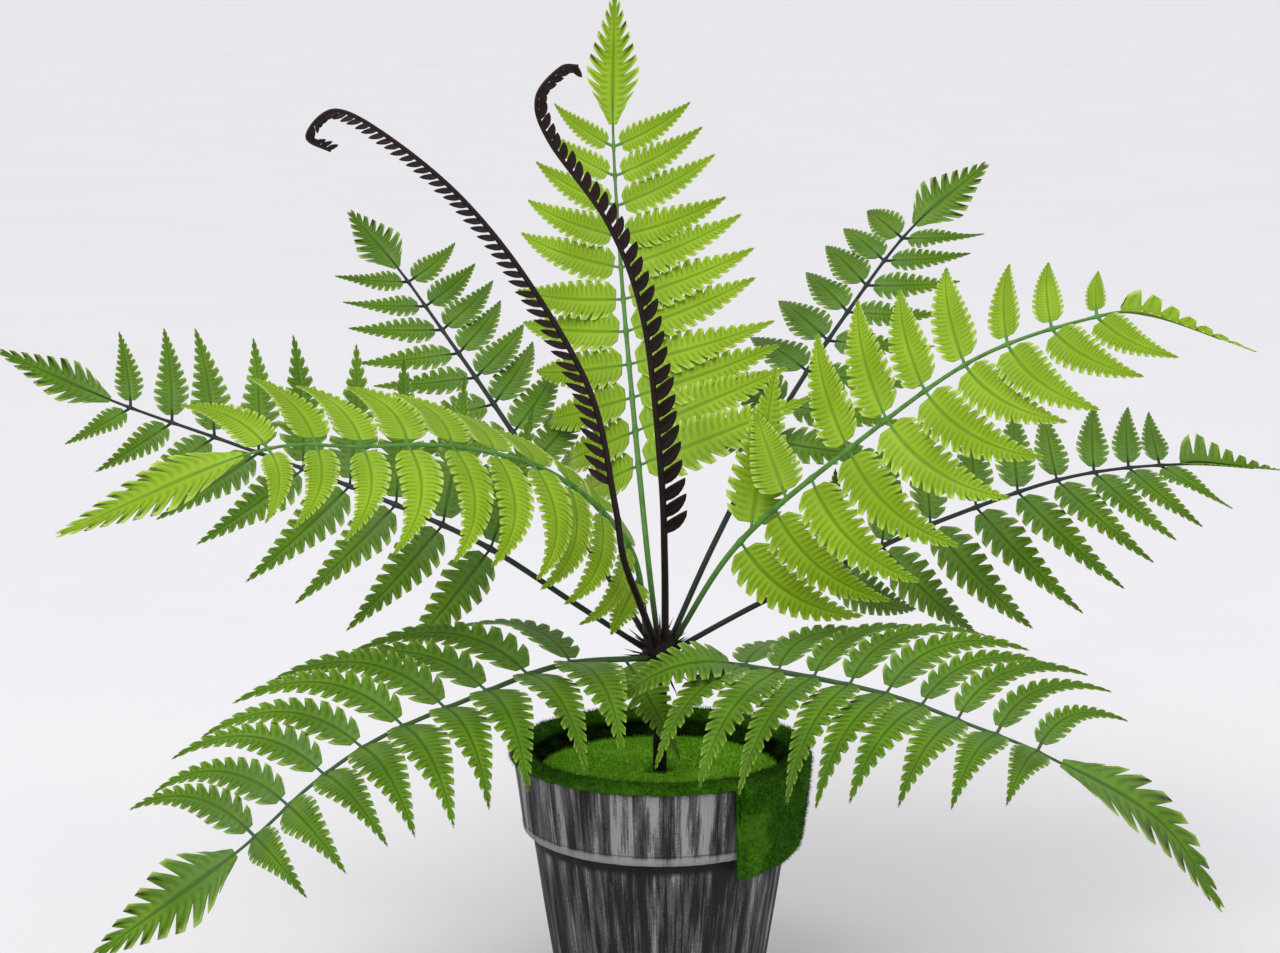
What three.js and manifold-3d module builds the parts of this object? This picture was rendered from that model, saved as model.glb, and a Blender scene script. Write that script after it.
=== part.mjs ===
// Potted artificial fern: nine leafy fronds and two curled crosiers set in a
// bristled crown, standing on a short trunk in a tapered pot topped with moss.
// Millimetres, +Z up, origin at the middle of the pot's underside, front at -Y.
import * as THREE from "three";
import { mergeVertices } from "three/addons/utils/BufferGeometryUtils.js";
import Module from "manifold-3d";

const wasm = await Module();
wasm.setup();

const GAP = 0.3; // clearance left between neighbouring pieces

// ---- pot ----------------------------------------------------------------
const POT_HEIGHT = 130;
const RIM_RADIUS = 73.5;
const BAND_HEIGHT = 38;
const BAND_FOOT_RADIUS = 68.5;
const BODY_TOP_RADIUS = 64.5;
const BODY_FOOT_RADIUS = 50;
const WALL = 5;
const POT_FLOOR = 6;
const FILL_TOP = 114;

// ---- moss ---------------------------------------------------------------
const DISC_TOP = 121.5;
const DISC_HOLE = 7.5;
const DISC_CLEAR = 3.2; // from the disc's edge to the wall
const DISC_ROUNDING = 3; // width of the slope at the disc's edge
const LIP_TOP = 134;
const LIP_FOOT = 129.4; // where the moss ends outside the rim, away from the flap
const LIP_REACH = 65.2; // inner radius of the lip
const LINING = 1.5; // moss on the wall beneath the lip
const LINING_RISE = 9; // height over which the lining keeps that thickness
const LAP_THICK = 1.2;
const LAP_BULGE = 2; // height over the rim at which the lap is fullest
const FLAP_THICK = 3;
const FLAP_EASE = 2; // height of the slopes at the flap's foot and top
const FLAP_FOOT = 82.5; // lowest edge of the flap that hangs over the band
const FLAP_MIDDLE = -32; // degrees from +X, seen from above
const FLAP_SPREAD = 27; // degrees from its middle to either side

// ---- trunk and crown ----------------------------------------------------
const TRUNK_RADIUS = 3.5;
const TRUNK_FOOT = 40;
const CROWN_FOOT = 168;
const CROWN_TOP = 192;
const CROWN_RADIUS = 9;
const TRUNK_SEAT = 8; // how far the trunk reaches up into the crown
const BRISTLES = 11; // in each of the two rings
const BRISTLE_RADIUS = 1.2;
const BRISTLE_ROOT = 0.7; // share of the crown's radius at which bristles root

// ---- fronds -------------------------------------------------------------
// path:  points of the midrib from the crown to the tip of the end leaflet
// end:   length of the end leaflet, bare: length of stem without leaflets
// pairs: leaflet pairs, crowd: how much closer they stand towards the tip
// turn/tilt: heading and rise, in degrees, of the blade's face at base and tip
// lift:  rise of the leaflets out of the blade, bend: how far they curl back
// long/sweep: leaflet length and angle from the midrib at base, middle, tip
// hook/arch: how far a leaflet bows forward in the blade and up out of it
// skip:  leaflets left out at the base of a row, broad: share of the usual width
// strays: leaflets out of their row, by place on the midrib, reach and face
// endTurn/endTilt/endFold: face of the end leaflet, and how far its sides stand up
const LIME = 0x8fc329;
const DARK = 0x3f8a1c;
const FRONDS = [
  {
    name: "lime_top", tint: LIME, end: 68, bare: 92, pairs: 11, crowd: 0.12,
    path: [[-1, 5, 186], [-6, 14, 226], [-14, 60, 300], [-20, 90, 365], [-24, 108, 435], [-23, 112, 502]],
    turn: [-25, 0], tilt: [5, 10], lift: [-15, 0], bend: [0.3, 0.2],
    left: { long: [84, 75, 38], sweep: [78, 68, 50], bend: [0.38, 0.2], broad: 0.75 },
    right: { long: [96, 77, 46], sweep: [64, 71, 55], broad: 0.8 },
  },
  {
    name: "lime_left", tint: LIME, end: 92, bare: 60, pairs: 10, crowd: 0,
    path: [[-6, -2, 186], [-15, -15, 238], [-49, -35, 277], [-93, -60, 296], [-140, -80, 300], [-188, -95, 300],
      [-275, -110, 265]],
    turn: [-20, -20], tilt: [65, 50], lift: [-10, 5], bend: [0.25, 0.1],
    left: { long: [56, 75, 42], sweep: [95, 75, 75], hook: 0.5, broad: 0.8 },
    right: { long: [52, 64, 55], sweep: [82, 85, 50], hook: 0.4, broad: 0.95 },
    strays: [{ at: 38, reach: [-14, -12, -27], face: [0, -1, 0.2], arch: 0.2, broad: 1.6 }],
    endBroad: 0.9,
  },
  {
    name: "lime_right", tint: LIME, end: 66, bare: 68, pairs: 10, crowd: 0.1,
    path: [[6, -1.5, 186], [38, -20, 241], [89, -45, 292], [145, -65, 338], [197, -80, 360], [225, -83, 362],
      [273, -90, 346]],
    turn: [10, -25], tilt: [30, 45], lift: [-10, 10], bend: [0.25, 0.15],
    left: { long: [64, 74, 25], sweep: [80, 85, 84], hook: 0.05, bend: [0.25, 0.3], broad: 0.85, skip: 3 },
    right: { long: [78, 70, 46], sweep: [85, 65, 40], hook: 0.4 },
    strays: [
      { at: 76, reach: [13, 25, 78], face: [-0.1, -1, 0], arch: 0.1, broad: 0.95 },
      { at: 102, reach: [-15, 25, 40], face: [-0.1, -1, 0], arch: 0.1, broad: 1.35 },
    ],
    endTurn: 0, endTilt: 75, endFold: 0.5,
  },
  {
    name: "dark_back_left", tint: DARK, end: 45, bare: 126, pairs: 8, crowd: 0.1,
    path: [[-4, 4, 184], [-25, 32, 211], [-84, 105, 285], [-121, 158, 327], [-144, 182, 354], [-170, 200, 381]],
    turn: [0, 0], tilt: [35, 75], lift: [-10, 10], bend: [0.25, 0.15],
    left: { long: [68, 59, 38], sweep: [60, 57, 60], hook: 0.3 },
    right: { long: [68, 61, 44], sweep: [53, 52, 70] },
    endTurn: 0, endTilt: 45, endBroad: 1.5,
  },
  {
    name: "dark_back_right", tint: DARK, end: 55, bare: 125, pairs: 8, crowd: 0.2,
    path: [[4, 4, 184], [28, 25, 233], [64, 80, 290], [101, 125, 337], [136, 160, 376], [178, 180, 409]],
    turn: [-30, 15], tilt: [30, 80], lift: [-5, 5], bend: [0.25, 0.15],
    left: { long: [73, 60, 46], sweep: [70, 60, 65], hook: 0.1, bend: [0.35, 0.3], broad: 1.15 },
    right: { long: [75, 56, 46], sweep: [70, 60, 55], hook: 0.3 },
    endTurn: 15, endTilt: 50, endBroad: 1.4,
  },
  {
    name: "dark_left", tint: DARK, end: 62, bare: 95, pairs: 9, crowd: 0.12,
    path: [[-6, 1, 182], [-41, 10, 203], [-91, 25, 232], [-155, 45, 256], [-220, 55, 278], [-278, 60, 298],
      [-336, 60, 324]],
    turn: [-5, 5], tilt: [15, 40], lift: [5, 10], bend: [0.15, 0.1],
    left: { long: [78, 68, 36], sweep: [80, 60, 60], hook: 0.1 },
    right: { long: [78, 73, 40], sweep: [80, 65, 60], hook: 0.1 },
  },
  {
    name: "dark_right", tint: DARK, end: 55, bare: 91, pairs: 9, crowd: 0.35,
    path: [[6, 1, 182], [50, 15, 203], [102, 35, 223], [149, 55, 239], [213, 80, 255], [273, 90, 260],
      [326, 95, 256]],
    turn: [-10, -50], tilt: [5, 55], lift: [-15, 10], bend: [0.3, 0.15],
    left: { long: [70, 80, 47], sweep: [50, 60, 80], hook: 0.1, broad: 0.8 },
    right: { long: [69, 76, 44], sweep: [45, 70, 55], hook: 0.25 },
    endTurn: 0, endTilt: 70, endFold: 0.6, endBroad: 1.5,
  },
  {
    name: "dark_front_left", tint: DARK, end: 80, bare: 50, pairs: 9, crowd: 0.15,
    path: [[-4, -5, 180], [-49, -40, 185], [-93, -80, 178], [-131, -110, 168], [-160, -130, 152],
      [-195, -140, 122], [-258, -150, 77]],
    turn: [-5, -45], tilt: [80, 15], lift: [5, 20], bend: [0.2, 0.1],
    left: { long: [94, 80, 54], sweep: [70, 70, 100], hook: 0.1, arch: 0.25 },
    right: { long: [97, 85, 62], sweep: [70, 50, 55], hook: 0.6, arch: 0.2, broad: 0.85 },
    strays: [{ at: 17, reach: [27, -18, -46], face: [0.3, -0.9, 0.4], arch: 0.2, broad: 1.5 }],
    endBroad: 1.25,
  },
  {
    name: "dark_front_right", tint: DARK, end: 103, bare: 50, pairs: 9, crowd: 0,
    path: [[4, -5, 180], [54, -50, 185], [105, -90, 184], [140, -120, 178], [177, -140, 167],
      [225, -148, 140], [254, -150, 100]],
    turn: [40, -35], tilt: [45, 75], lift: [-5, 15], bend: [0.2, 0.1],
    left: { long: [83, 75, 52], sweep: [85, 60, 60], hook: 0.7, arch: 0.2, broad: 0.85 },
    right: { long: [82, 79, 50], sweep: [90, 80, 90], hook: 0.1, arch: 0.25 },
    strays: [{ at: 46, reach: [-66, -22, -20], face: [0, -0.3, 1], arch: 0.7, broad: 1.35 }],
    endBroad: 1.1,
  },
];
const STEM_RADIUS = 1.5;
const BORE_GAP = GAP * 1.3; // clearance of the crown's bores, round stems and stalks
const STEM_BORE_RUN = 10; // how far a stem's bore runs on past its end
const STALK_BORE = 60; // length of crosier stalk that the crown is bored for
const RIB_RADIUS = [1.3, 0.7]; // midrib at the first leaflets and at the end
const LEAF_THICK = 0.8;
const LEAF_WIDTH = { [LIME]: 0.31, [DARK]: 0.28 }; // share of the leaflet's length
const END_LEAF_WIDTH = 0.36;
const LEAF_FOOT = 0.7; // half width of a leaflet where it leaves the midrib
const LEAF_POINT = 0.4; // half width of a leaflet's tip
const HOOK = 0.2; // the usual bow of a leaflet towards the tip
const BEND_PULL = 0.25; // how much of its length a leaflet's curl takes up
const BLADE_OVERLAP = 3; // length of midrib inside the end leaflet
const LAST_PAIR = 10; // from the last pair of leaflets to the end leaflet
const BLADE_START = 8; // how far the blade starts ahead of its first leaflets
const STRAY_START = 5; // and ahead of a stray leaflet
// outlines: share of the length and share of the full half width there
const LEAF_OUTLINE = [[0.18, 1], [0.45, 0.7], [0.72, 0.35]];
const END_OUTLINE = [[0.1, 0.7], [0.4, 1], [0.75, 0.5]];
const COMB_OUTLINE = [[0.1, 1], [0.4, 0.5], [0.75, 0.2]];

// ---- crosiers -----------------------------------------------------------
// side: which side of the stalk the comb stands on, comb: stalk below the comb
// teeth/long/wide: number, length and width of the comb's leaflets
const CROSIERS = [
  {
    name: "crosier_left", side: -1, comb: 112, teeth: 53, long: [13, 5], wide: [3.6, 2],
    path: [[-2, -5.5, 186], [-10, -28, 213], [-18, -50, 241], [-22, -58, 269], [-33, -62, 322], [-61, -66, 374],
      [-92, -68, 414], [-126, -70, 443], [-150, -70, 455], [-163, -70, 443], [-151, -70, 436]],
  },
  {
    name: "crosier_right", side: 1, comb: 68, teeth: 38, long: [15, 6], wide: [6, 3],
    path: [[2.5, -5.5, 187], [2, -25, 234], [0, -40, 281], [-8, -48, 353], [-24, -50, 399], [-52, -50, 439],
      [-58, -50, 459], [-47, -50, 473], [-38, -50, 474]],
  },
];
const CROSIER_RADIUS = [1.9, 0.9];
const COMB_SLANT = 50; // degrees from the stalk at which the comb's leaflets stand
const COMB_END = 3; // stalk left bare at the very tip
const COMB_SPREAD = 0.35; // how much wider than at the tip they stand at the foot

const BRISTLE_TINT = 0x2a1712;

/** Degrees to radians. */
const rad = (degrees) => (degrees * Math.PI) / 180;

/** Value at u (0 to 1) between the two ends of a pair. */
const between = ([a, b], u) => a + (b - a) * u;

/** Value at u (0 to 1) of the parabola through three evenly spread values. */
const through = ([a, b, c], u) => a * (1 - u) * (1 - 2 * u) + 4 * b * u * (1 - u) + c * u * (2 * u - 1);

/** A polyline through a smooth run of points, which can be asked for places along it. */
class Midrib {
  constructor(path) {
    const p = path.map((q) => new THREE.Vector3(...q));
    const first = p[0].clone().multiplyScalar(2).sub(p[1]);
    const last = p[p.length - 1].clone().multiplyScalar(2).sub(p[p.length - 2]);
    const all = [first, ...p, last];
    const steps = 24;
    this.points = [];
    for (let i = 1; i < all.length - 2; i++) {
      for (let k = 0; k < steps; k++) this.points.push(Midrib.spline(all.slice(i - 1, i + 3), k / steps));
    }
    this.points.push(p[p.length - 1]);
    this.reach = [0];
    for (let i = 1; i < this.points.length; i++) {
      this.reach.push(this.reach[i - 1] + this.points[i].distanceTo(this.points[i - 1]));
    }
    this.length = this.reach[this.reach.length - 1];
  }

  static spline([a, b, c, d], t) {
    const mix = (x) =>
      0.5 *
      (2 * b[x] +
        (c[x] - a[x]) * t +
        (2 * a[x] - 5 * b[x] + 4 * c[x] - d[x]) * t * t +
        (3 * b[x] - a[x] - 3 * c[x] + d[x]) * t * t * t);
    return new THREE.Vector3(mix("x"), mix("y"), mix("z"));
  }

  at(distance) {
    const s = Math.min(Math.max(distance, 0), this.length);
    let i = 1;
    while (i < this.reach.length - 1 && this.reach[i] < s) i++;
    const t = (s - this.reach[i - 1]) / (this.reach[i] - this.reach[i - 1]);
    return this.points[i - 1].clone().lerp(this.points[i], t);
  }

  heading(distance) {
    const s = Math.min(Math.max(distance, 2), this.length - 2);
    return this.at(s + 2).sub(this.at(s - 2)).normalize();
  }
}

/** A closed skin over rings of equally many points, each ring turning about the way it is strung. */
function skin(rings) {
  const n = rings[0].length;
  const vertices = rings.flat().flatMap((v) => [v.x, v.y, v.z]);
  const faces = [];
  for (let r = 0; r < rings.length - 1; r++) {
    for (let k = 0; k < n; k++) {
      const a = r * n + k;
      const b = r * n + ((k + 1) % n);
      faces.push(a, b, b + n, a, b + n, a + n);
    }
  }
  const top = (rings.length - 1) * n;
  for (let k = 1; k < n - 1; k++) {
    faces.push(0, k + 1, k);
    faces.push(top, top + k, top + k + 1);
  }
  const g = new THREE.BufferGeometry();
  g.setAttribute("position", new THREE.Float32BufferAttribute(vertices, 3));
  g.setIndex(faces);
  return g;
}

/** The solid that a closed geometry bounds. */
function solid(geometry) {
  const g = geometry.clone();
  g.deleteAttribute("normal");
  g.deleteAttribute("uv");
  const merged = mergeVertices(g, 1e-4);
  const made = new wasm.Manifold(
    new wasm.Mesh({
      numProp: 3,
      vertProperties: new Float32Array(merged.attributes.position.array),
      triVerts: new Uint32Array(merged.index.array),
    }),
  );
  if (made.volume() < 0) throw new Error("a solid is inside out");
  return made;
}

/** One solid out of several that touch. */
const joined = (solids) => solids.reduce((a, b) => a.add(b));

/** A mesh named for its node, with a material of its own. */
function node(name, shape, color, roughness = 0.6) {
  const m = shape.getMesh();
  const g = new THREE.BufferGeometry();
  const flat = new Float32Array((m.vertProperties.length / m.numProp) * 3);
  for (let i = 0; i * m.numProp < m.vertProperties.length; i++) {
    flat.set(m.vertProperties.subarray(i * m.numProp, i * m.numProp + 3), i * 3);
  }
  g.setAttribute("position", new THREE.BufferAttribute(flat, 3));
  g.setIndex(new THREE.BufferAttribute(new Uint32Array(m.triVerts), 1));
  g.computeVertexNormals();
  const mesh = new THREE.Mesh(g, new THREE.MeshStandardMaterial({ color, roughness }));
  mesh.name = name;
  return mesh;
}

/** Two directions square to a heading, the first as near as can be to a wished one. */
function across(heading, wish) {
  const up = wish.clone().addScaledVector(heading, -wish.dot(heading)).normalize();
  return [up, new THREE.Vector3().crossVectors(heading, up)];
}

/** A round rod along a midrib between two distances, its radius going from one value to another. */
function rod(rib, from, to, radii, sides = 6, steps = 10) {
  const rings = [];
  for (let i = 0; i <= steps; i++) {
    const s = from + ((to - from) * i) / steps;
    const wish = new THREE.Vector3(0.3, -1, 0.2);
    const [up, side] = across(rib.heading(s), wish);
    const r = between(radii, i / steps);
    const ring = [];
    for (let k = 0; k < sides; k++) {
      const a = (2 * Math.PI * k) / sides;
      ring.push(
        rib.at(s).addScaledVector(side, r * Math.cos(a)).addScaledVector(up, -r * Math.sin(a)),
      );
    }
    rings.push(ring);
  }
  return solid(skin(rings));
}

/**
 * A thin plate strung on a centre line, given as [place, half width] with one face's direction.
 * Its two sides rise by a share of the half width, so that it is folded along the line.
 */
function plate(stations, face, thick, rise = 0) {
  const rings = stations.map(([place, half], i) => {
    const ahead = stations[Math.min(i + 1, stations.length - 1)][0];
    const behind = stations[Math.max(i - 1, 0)][0];
    const [up, side] = across(ahead.clone().sub(behind).normalize(), face);
    const corner = (x, y) =>
      place
        .clone()
        .addScaledVector(side, x * half)
        .addScaledVector(up, (y * thick) / 2 + Math.abs(x) * half * rise);
    const outer = [corner(-1, -1), corner(-1, 1), corner(1, 1), corner(1, -1)];
    if (rise === 0) return outer;
    return [corner(0, -1), outer[0], outer[1], corner(0, 1), outer[2], outer[3]];
  });
  return solid(skin(rings));
}

/** Plate stations along a line: a narrow foot, the outline's widths, and a point. */
const outlined = (centre, half, outline) => [
  [centre(0), LEAF_FOOT],
  ...outline.map(([t, share]) => [centre(t), half * share]),
  [centre(1), LEAF_POINT],
];

/** The direction turned from the front to the right, and tilted up, in degrees. */
function looking(turn, tilt) {
  const flat = Math.cos(rad(tilt));
  return new THREE.Vector3(Math.sin(rad(turn)) * flat, -Math.cos(rad(turn)) * flat, Math.sin(rad(tilt)));
}

/** The blade's face direction at a share of its length. */
const facing = (frond, u) => looking(between(frond.turn, u), between(frond.tilt, u));

/** Half the greatest width of a leaflet. */
const halfWidth = (frond, long, broad = 1) => (long * LEAF_WIDTH[frond.tint] * broad) / 2;

/** One leaflet as a thin lance-shaped plate that bows forward and curls back towards its tip. */
function leaflet(frond, rib, s, u, side) {
  const row = side < 0 ? frond.left : frond.right;
  const heading = rib.heading(s);
  const [up, right] = across(heading, facing(frond, u));
  const lift = rad(between(frond.lift, u));
  const sweep = rad(through(row.sweep, u));
  const long = through(row.long, u);
  const bend = between(row.bend ?? frond.bend, u);
  const hook = row.hook ?? HOOK;
  const arch = row.arch ?? 0;
  const out = right.clone().multiplyScalar(side * Math.cos(lift)).addScaledVector(up, Math.sin(lift));
  const way = heading
    .clone()
    .multiplyScalar(Math.cos(sweep))
    .addScaledVector(out, Math.sin(sweep))
    .normalize();
  const [face] = across(way, up);
  const [ahead] = across(way, heading);
  const centre = (t) =>
    rib
      .at(s)
      .addScaledVector(way, long * (t - BEND_PULL * bend * t * t * t))
      .addScaledVector(face, long * (arch * (t - t * t) - bend * t * t))
      .addScaledVector(ahead, -long * hook * (t - t * t));
  const half = halfWidth(frond, long, row.broad);
  return plate(outlined(centre, half, LEAF_OUTLINE), face, LEAF_THICK);
}

/** A leaflet out of its row, which arches from its place on the midrib to where it reaches. */
function strayLeaflet(frond, rib, stray) {
  const reach = new THREE.Vector3(...stray.reach);
  const long = reach.length();
  const [face] = across(reach.clone().normalize(), new THREE.Vector3(...stray.face));
  const centre = (t) =>
    rib
      .at(stray.at)
      .addScaledVector(reach, t)
      .addScaledVector(face, long * stray.arch * (t - t * t));
  const half = halfWidth(frond, long, stray.broad);
  return plate(outlined(centre, half, LEAF_OUTLINE), face, LEAF_THICK);
}

/** Distance along the midrib at which the stem ends and the moulded blade begins. */
const stemLength = (frond) =>
  Math.min(frond.bare - BLADE_START, ...(frond.strays ?? []).map((stray) => stray.at - STRAY_START));

/** Midrib, leaflets and end leaflet of one frond, moulded as one piece. */
function blade(frond, rib) {
  const tipBase = rib.length - frond.end;
  const last = tipBase - LAST_PAIR;
  const parts = [rod(rib, stemLength(frond) + GAP, tipBase + BLADE_OVERLAP, RIB_RADIUS, 6, 12)];
  for (let i = 0; i < frond.pairs; i++) {
    const k = i / (frond.pairs - 1);
    const s = frond.bare + (last - frond.bare) * (k + frond.crowd * k * (1 - k));
    const u = (s - frond.bare) / (tipBase - frond.bare);
    if (i >= (frond.left.skip ?? 0)) parts.push(leaflet(frond, rib, s, u, -1));
    parts.push(leaflet(frond, rib, s, u, 1));
  }
  for (const stray of frond.strays ?? []) parts.push(strayLeaflet(frond, rib, stray));
  const half = (frond.end * END_LEAF_WIDTH * (frond.endBroad ?? 1)) / 2;
  const outline = frond.endFold ? COMB_OUTLINE : END_OUTLINE;
  const face = looking(frond.endTurn ?? frond.turn[1], frond.endTilt ?? frond.tilt[1]);
  const centre = (t) => rib.at(tipBase + frond.end * t);
  parts.push(plate(outlined(centre, half, outline), face, LEAF_THICK, frond.endFold));
  return joined(parts);
}

/** A curled brown stalk with a comb of small leaflets down one side. */
function crosier(spec, rib) {
  const parts = [rod(rib, 0, rib.length, CROSIER_RADIUS, 5, 32)];
  for (let i = 0; i < spec.teeth; i++) {
    const k = i / (spec.teeth - 1);
    const u = (1 + COMB_SPREAD) * k - COMB_SPREAD * k * k;
    const s = spec.comb + (rib.length - COMB_END - spec.comb) * u;
    const heading = rib.heading(s);
    const [up, right] = across(heading, new THREE.Vector3(0, -1, 0));
    const way = right
      .clone()
      .multiplyScalar(spec.side * Math.sin(rad(COMB_SLANT)))
      .addScaledVector(heading, Math.cos(rad(COMB_SLANT)));
    const long = between(spec.long, u);
    const wide = between(spec.wide, u) / 2;
    parts.push(
      plate(
        [
          [rib.at(s), wide],
          [rib.at(s).addScaledVector(way, long), LEAF_POINT],
        ],
        up,
        LEAF_THICK,
      ),
    );
  }
  return joined(parts);
}

/** A solid of revolution about Z from a closed profile of [radius, height]. */
function turned(profile, segments = 36) {
  const points = profile.map(([r, z]) => new THREE.Vector2(r, z));
  const g = new THREE.LatheGeometry(points, segments).rotateX(Math.PI / 2);
  return solid(g);
}

/** An upright cylinder between two heights. */
function post(radius, low, high, segments = 16) {
  return turned([[0, low], [radius, low], [radius, high], [0, high]], segments);
}

/** Radius of the pot's outside at a height. */
function potRadius(z) {
  const bandFoot = POT_HEIGHT - BAND_HEIGHT;
  if (z < bandFoot) return between([BODY_FOOT_RADIUS, BODY_TOP_RADIUS], z / bandFoot);
  return between([BAND_FOOT_RADIUS, RIM_RADIUS], (z - bandFoot) / BAND_HEIGHT);
}

/** Radius of the pot's inside at a height. */
function wellRadius(z) {
  const bandFoot = POT_HEIGHT - BAND_HEIGHT;
  if (z < bandFoot) return potRadius(z) - WALL;
  const foot = BODY_TOP_RADIUS - WALL;
  return between([foot, RIM_RADIUS - WALL], (z - bandFoot) / BAND_HEIGHT);
}

function pot() {
  const bandFoot = POT_HEIGHT - BAND_HEIGHT;
  return turned(
    [
      [0, 0],
      [BODY_FOOT_RADIUS, 0],
      [BODY_TOP_RADIUS, bandFoot],
      [BAND_FOOT_RADIUS, bandFoot],
      [RIM_RADIUS, POT_HEIGHT],
      [wellRadius(POT_HEIGHT), POT_HEIGHT],
      [wellRadius(bandFoot), bandFoot],
      [wellRadius(POT_FLOOR), POT_FLOOR],
      [0, POT_FLOOR],
    ],
    48,
  );
}

function filling() {
  const bandFoot = POT_HEIGHT - BAND_HEIGHT;
  const low = POT_FLOOR + GAP;
  const block = turned([
    [0, low],
    [wellRadius(low) - GAP * 2, low],
    [wellRadius(bandFoot) - GAP * 2, bandFoot],
    [wellRadius(FILL_TOP) - GAP * 2, FILL_TOP],
    [0, FILL_TOP],
  ]);
  return block.subtract(post(TRUNK_RADIUS + GAP, TRUNK_FOOT - GAP, FILL_TOP + GAP));
}

/** The sunk round of moss that the trunk comes up through. */
function mossDisc() {
  const low = FILL_TOP + GAP;
  const edge = wellRadius(low) - DISC_CLEAR;
  return turned([
    [DISC_HOLE, low],
    [edge, low],
    [edge, DISC_TOP - 1],
    [edge - DISC_ROUNDING, DISC_TOP],
    [DISC_HOLE + DISC_ROUNDING / 2, DISC_TOP],
    [DISC_HOLE, DISC_TOP - DISC_ROUNDING / 2],
    [DISC_HOLE, low],
  ]);
}

/** The moss that lines the rim, laps over it and falls in a flap at the front right. */
function mossCollar() {
  const rim = POT_HEIGHT;
  const bandFoot = rim - BAND_HEIGHT;
  const inside = wellRadius(rim) - GAP;
  const low = FILL_TOP + GAP;
  const outside = RIM_RADIUS + GAP;
  const lining = wellRadius(low) - GAP - LINING;
  const lip = turned(
    [
      [lining, low],
      [wellRadius(low) - GAP, low],
      [inside, rim + GAP],
      [outside, rim + GAP],
      [outside, LIP_FOOT],
      [outside + LAP_THICK * 0.8, LIP_FOOT],
      [outside + LAP_THICK, rim + LAP_BULGE],
      [outside - 1, LIP_TOP],
      [inside - 2, LIP_TOP],
      [LIP_REACH, rim + 1],
      [lining, low + LINING_RISE],
      [lining, low],
    ],
    48,
  );
  const clear = (z) => potRadius(Math.max(z, bandFoot)) + GAP * 2;
  const sleeve = turned(
    [
      [clear(FLAP_FOOT), FLAP_FOOT],
      [clear(FLAP_FOOT) + FLAP_THICK, FLAP_FOOT + FLAP_EASE],
      [clear(bandFoot) + FLAP_THICK, bandFoot],
      [clear(rim) + FLAP_THICK, rim],
      [clear(rim), LIP_TOP - FLAP_EASE],
      [clear(rim), rim],
      [clear(bandFoot), bandFoot],
      [clear(FLAP_FOOT), FLAP_FOOT],
    ],
    48,
  );
  const far = RIM_RADIUS * 2;
  const corner = (turn) => {
    const a = rad(FLAP_MIDDLE + turn);
    return [far * Math.cos(a), far * Math.sin(a)];
  };
  const wedge = new THREE.Shape();
  wedge.moveTo(0, 0);
  wedge.lineTo(...corner(-FLAP_SPREAD));
  wedge.lineTo(...corner(0));
  wedge.lineTo(...corner(FLAP_SPREAD));
  wedge.closePath();
  const block = new THREE.ExtrudeGeometry(wedge, { depth: POT_HEIGHT * 2, bevelEnabled: false });
  return lip.add(sleeve.intersect(solid(block)));
}

/** A ring of bristles that stand out of the crown, its first one at a heading in degrees. */
function bristles(z, rise, long, first) {
  const made = [];
  for (let i = 0; i < BRISTLES; i++) {
    const a = rad(first) + (2 * Math.PI * i) / BRISTLES;
    const cone = new THREE.ConeGeometry(BRISTLE_RADIUS, long, 4).translate(0, long / 2, 0);
    const way = new THREE.Vector3(Math.cos(a), Math.sin(a), Math.tan(rad(rise))).normalize();
    cone.applyQuaternion(new THREE.Quaternion().setFromUnitVectors(new THREE.Vector3(0, 1, 0), way));
    const root = BRISTLE_ROOT * CROWN_RADIUS;
    cone.translate(root * Math.cos(a), root * Math.sin(a), z);
    made.push(solid(cone));
  }
  return made;
}

const fern = new THREE.Group();
fern.name = "potted_fern";
fern.add(node("pot", pot(), 0x55504f, 0.75));
fern.add(node("filling", filling(), 0x4a3d2e, 0.95));
fern.add(node("moss_disc", mossDisc(), 0x3f7d12, 1));
fern.add(node("moss_collar", mossCollar(), 0x3f7d12, 1));

let crown = joined([
  turned(
    [
      [0, CROWN_FOOT],
      [TRUNK_RADIUS + 1.5, CROWN_FOOT],
      [CROWN_RADIUS, CROWN_FOOT + 6],
      [CROWN_RADIUS, CROWN_TOP - 4],
      [CROWN_RADIUS - 2, CROWN_TOP],
      [0, CROWN_TOP],
    ],
    20,
  ),
  ...bristles(CROWN_TOP - 5, 50, 12, 12),
  ...bristles(CROWN_FOOT + 7, -35, 11, 0),
]);
crown = crown.subtract(post(TRUNK_RADIUS + GAP, TRUNK_FOOT, CROWN_FOOT + TRUNK_SEAT + GAP));
fern.add(node("trunk", post(TRUNK_RADIUS, TRUNK_FOOT, CROWN_FOOT + TRUNK_SEAT), BRISTLE_TINT, 0.8));

for (const frond of FRONDS) {
  const rib = new Midrib(frond.path);
  const stop = stemLength(frond);
  fern.add(node(frond.name + "_stem", rod(rib, 0, stop, [STEM_RADIUS, STEM_RADIUS]), 0x24382c, 0.5));
  fern.add(node(frond.name + "_blade", blade(frond, rib), frond.tint, 0.5));
  const bore = STEM_RADIUS + BORE_GAP;
  crown = crown.subtract(rod(rib, 0, stop + STEM_BORE_RUN, [bore, bore]));
}
for (const spec of CROSIERS) {
  const rib = new Midrib(spec.path);
  fern.add(node(spec.name, crosier(spec, rib), BRISTLE_TINT, 0.5));
  const bore = CROSIER_RADIUS[0] + BORE_GAP;
  crown = crown.subtract(rod(rib, 0, STALK_BORE, [bore, bore]));
}
fern.add(node("crown", crown, BRISTLE_TINT, 0.8));

export default fern;
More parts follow.
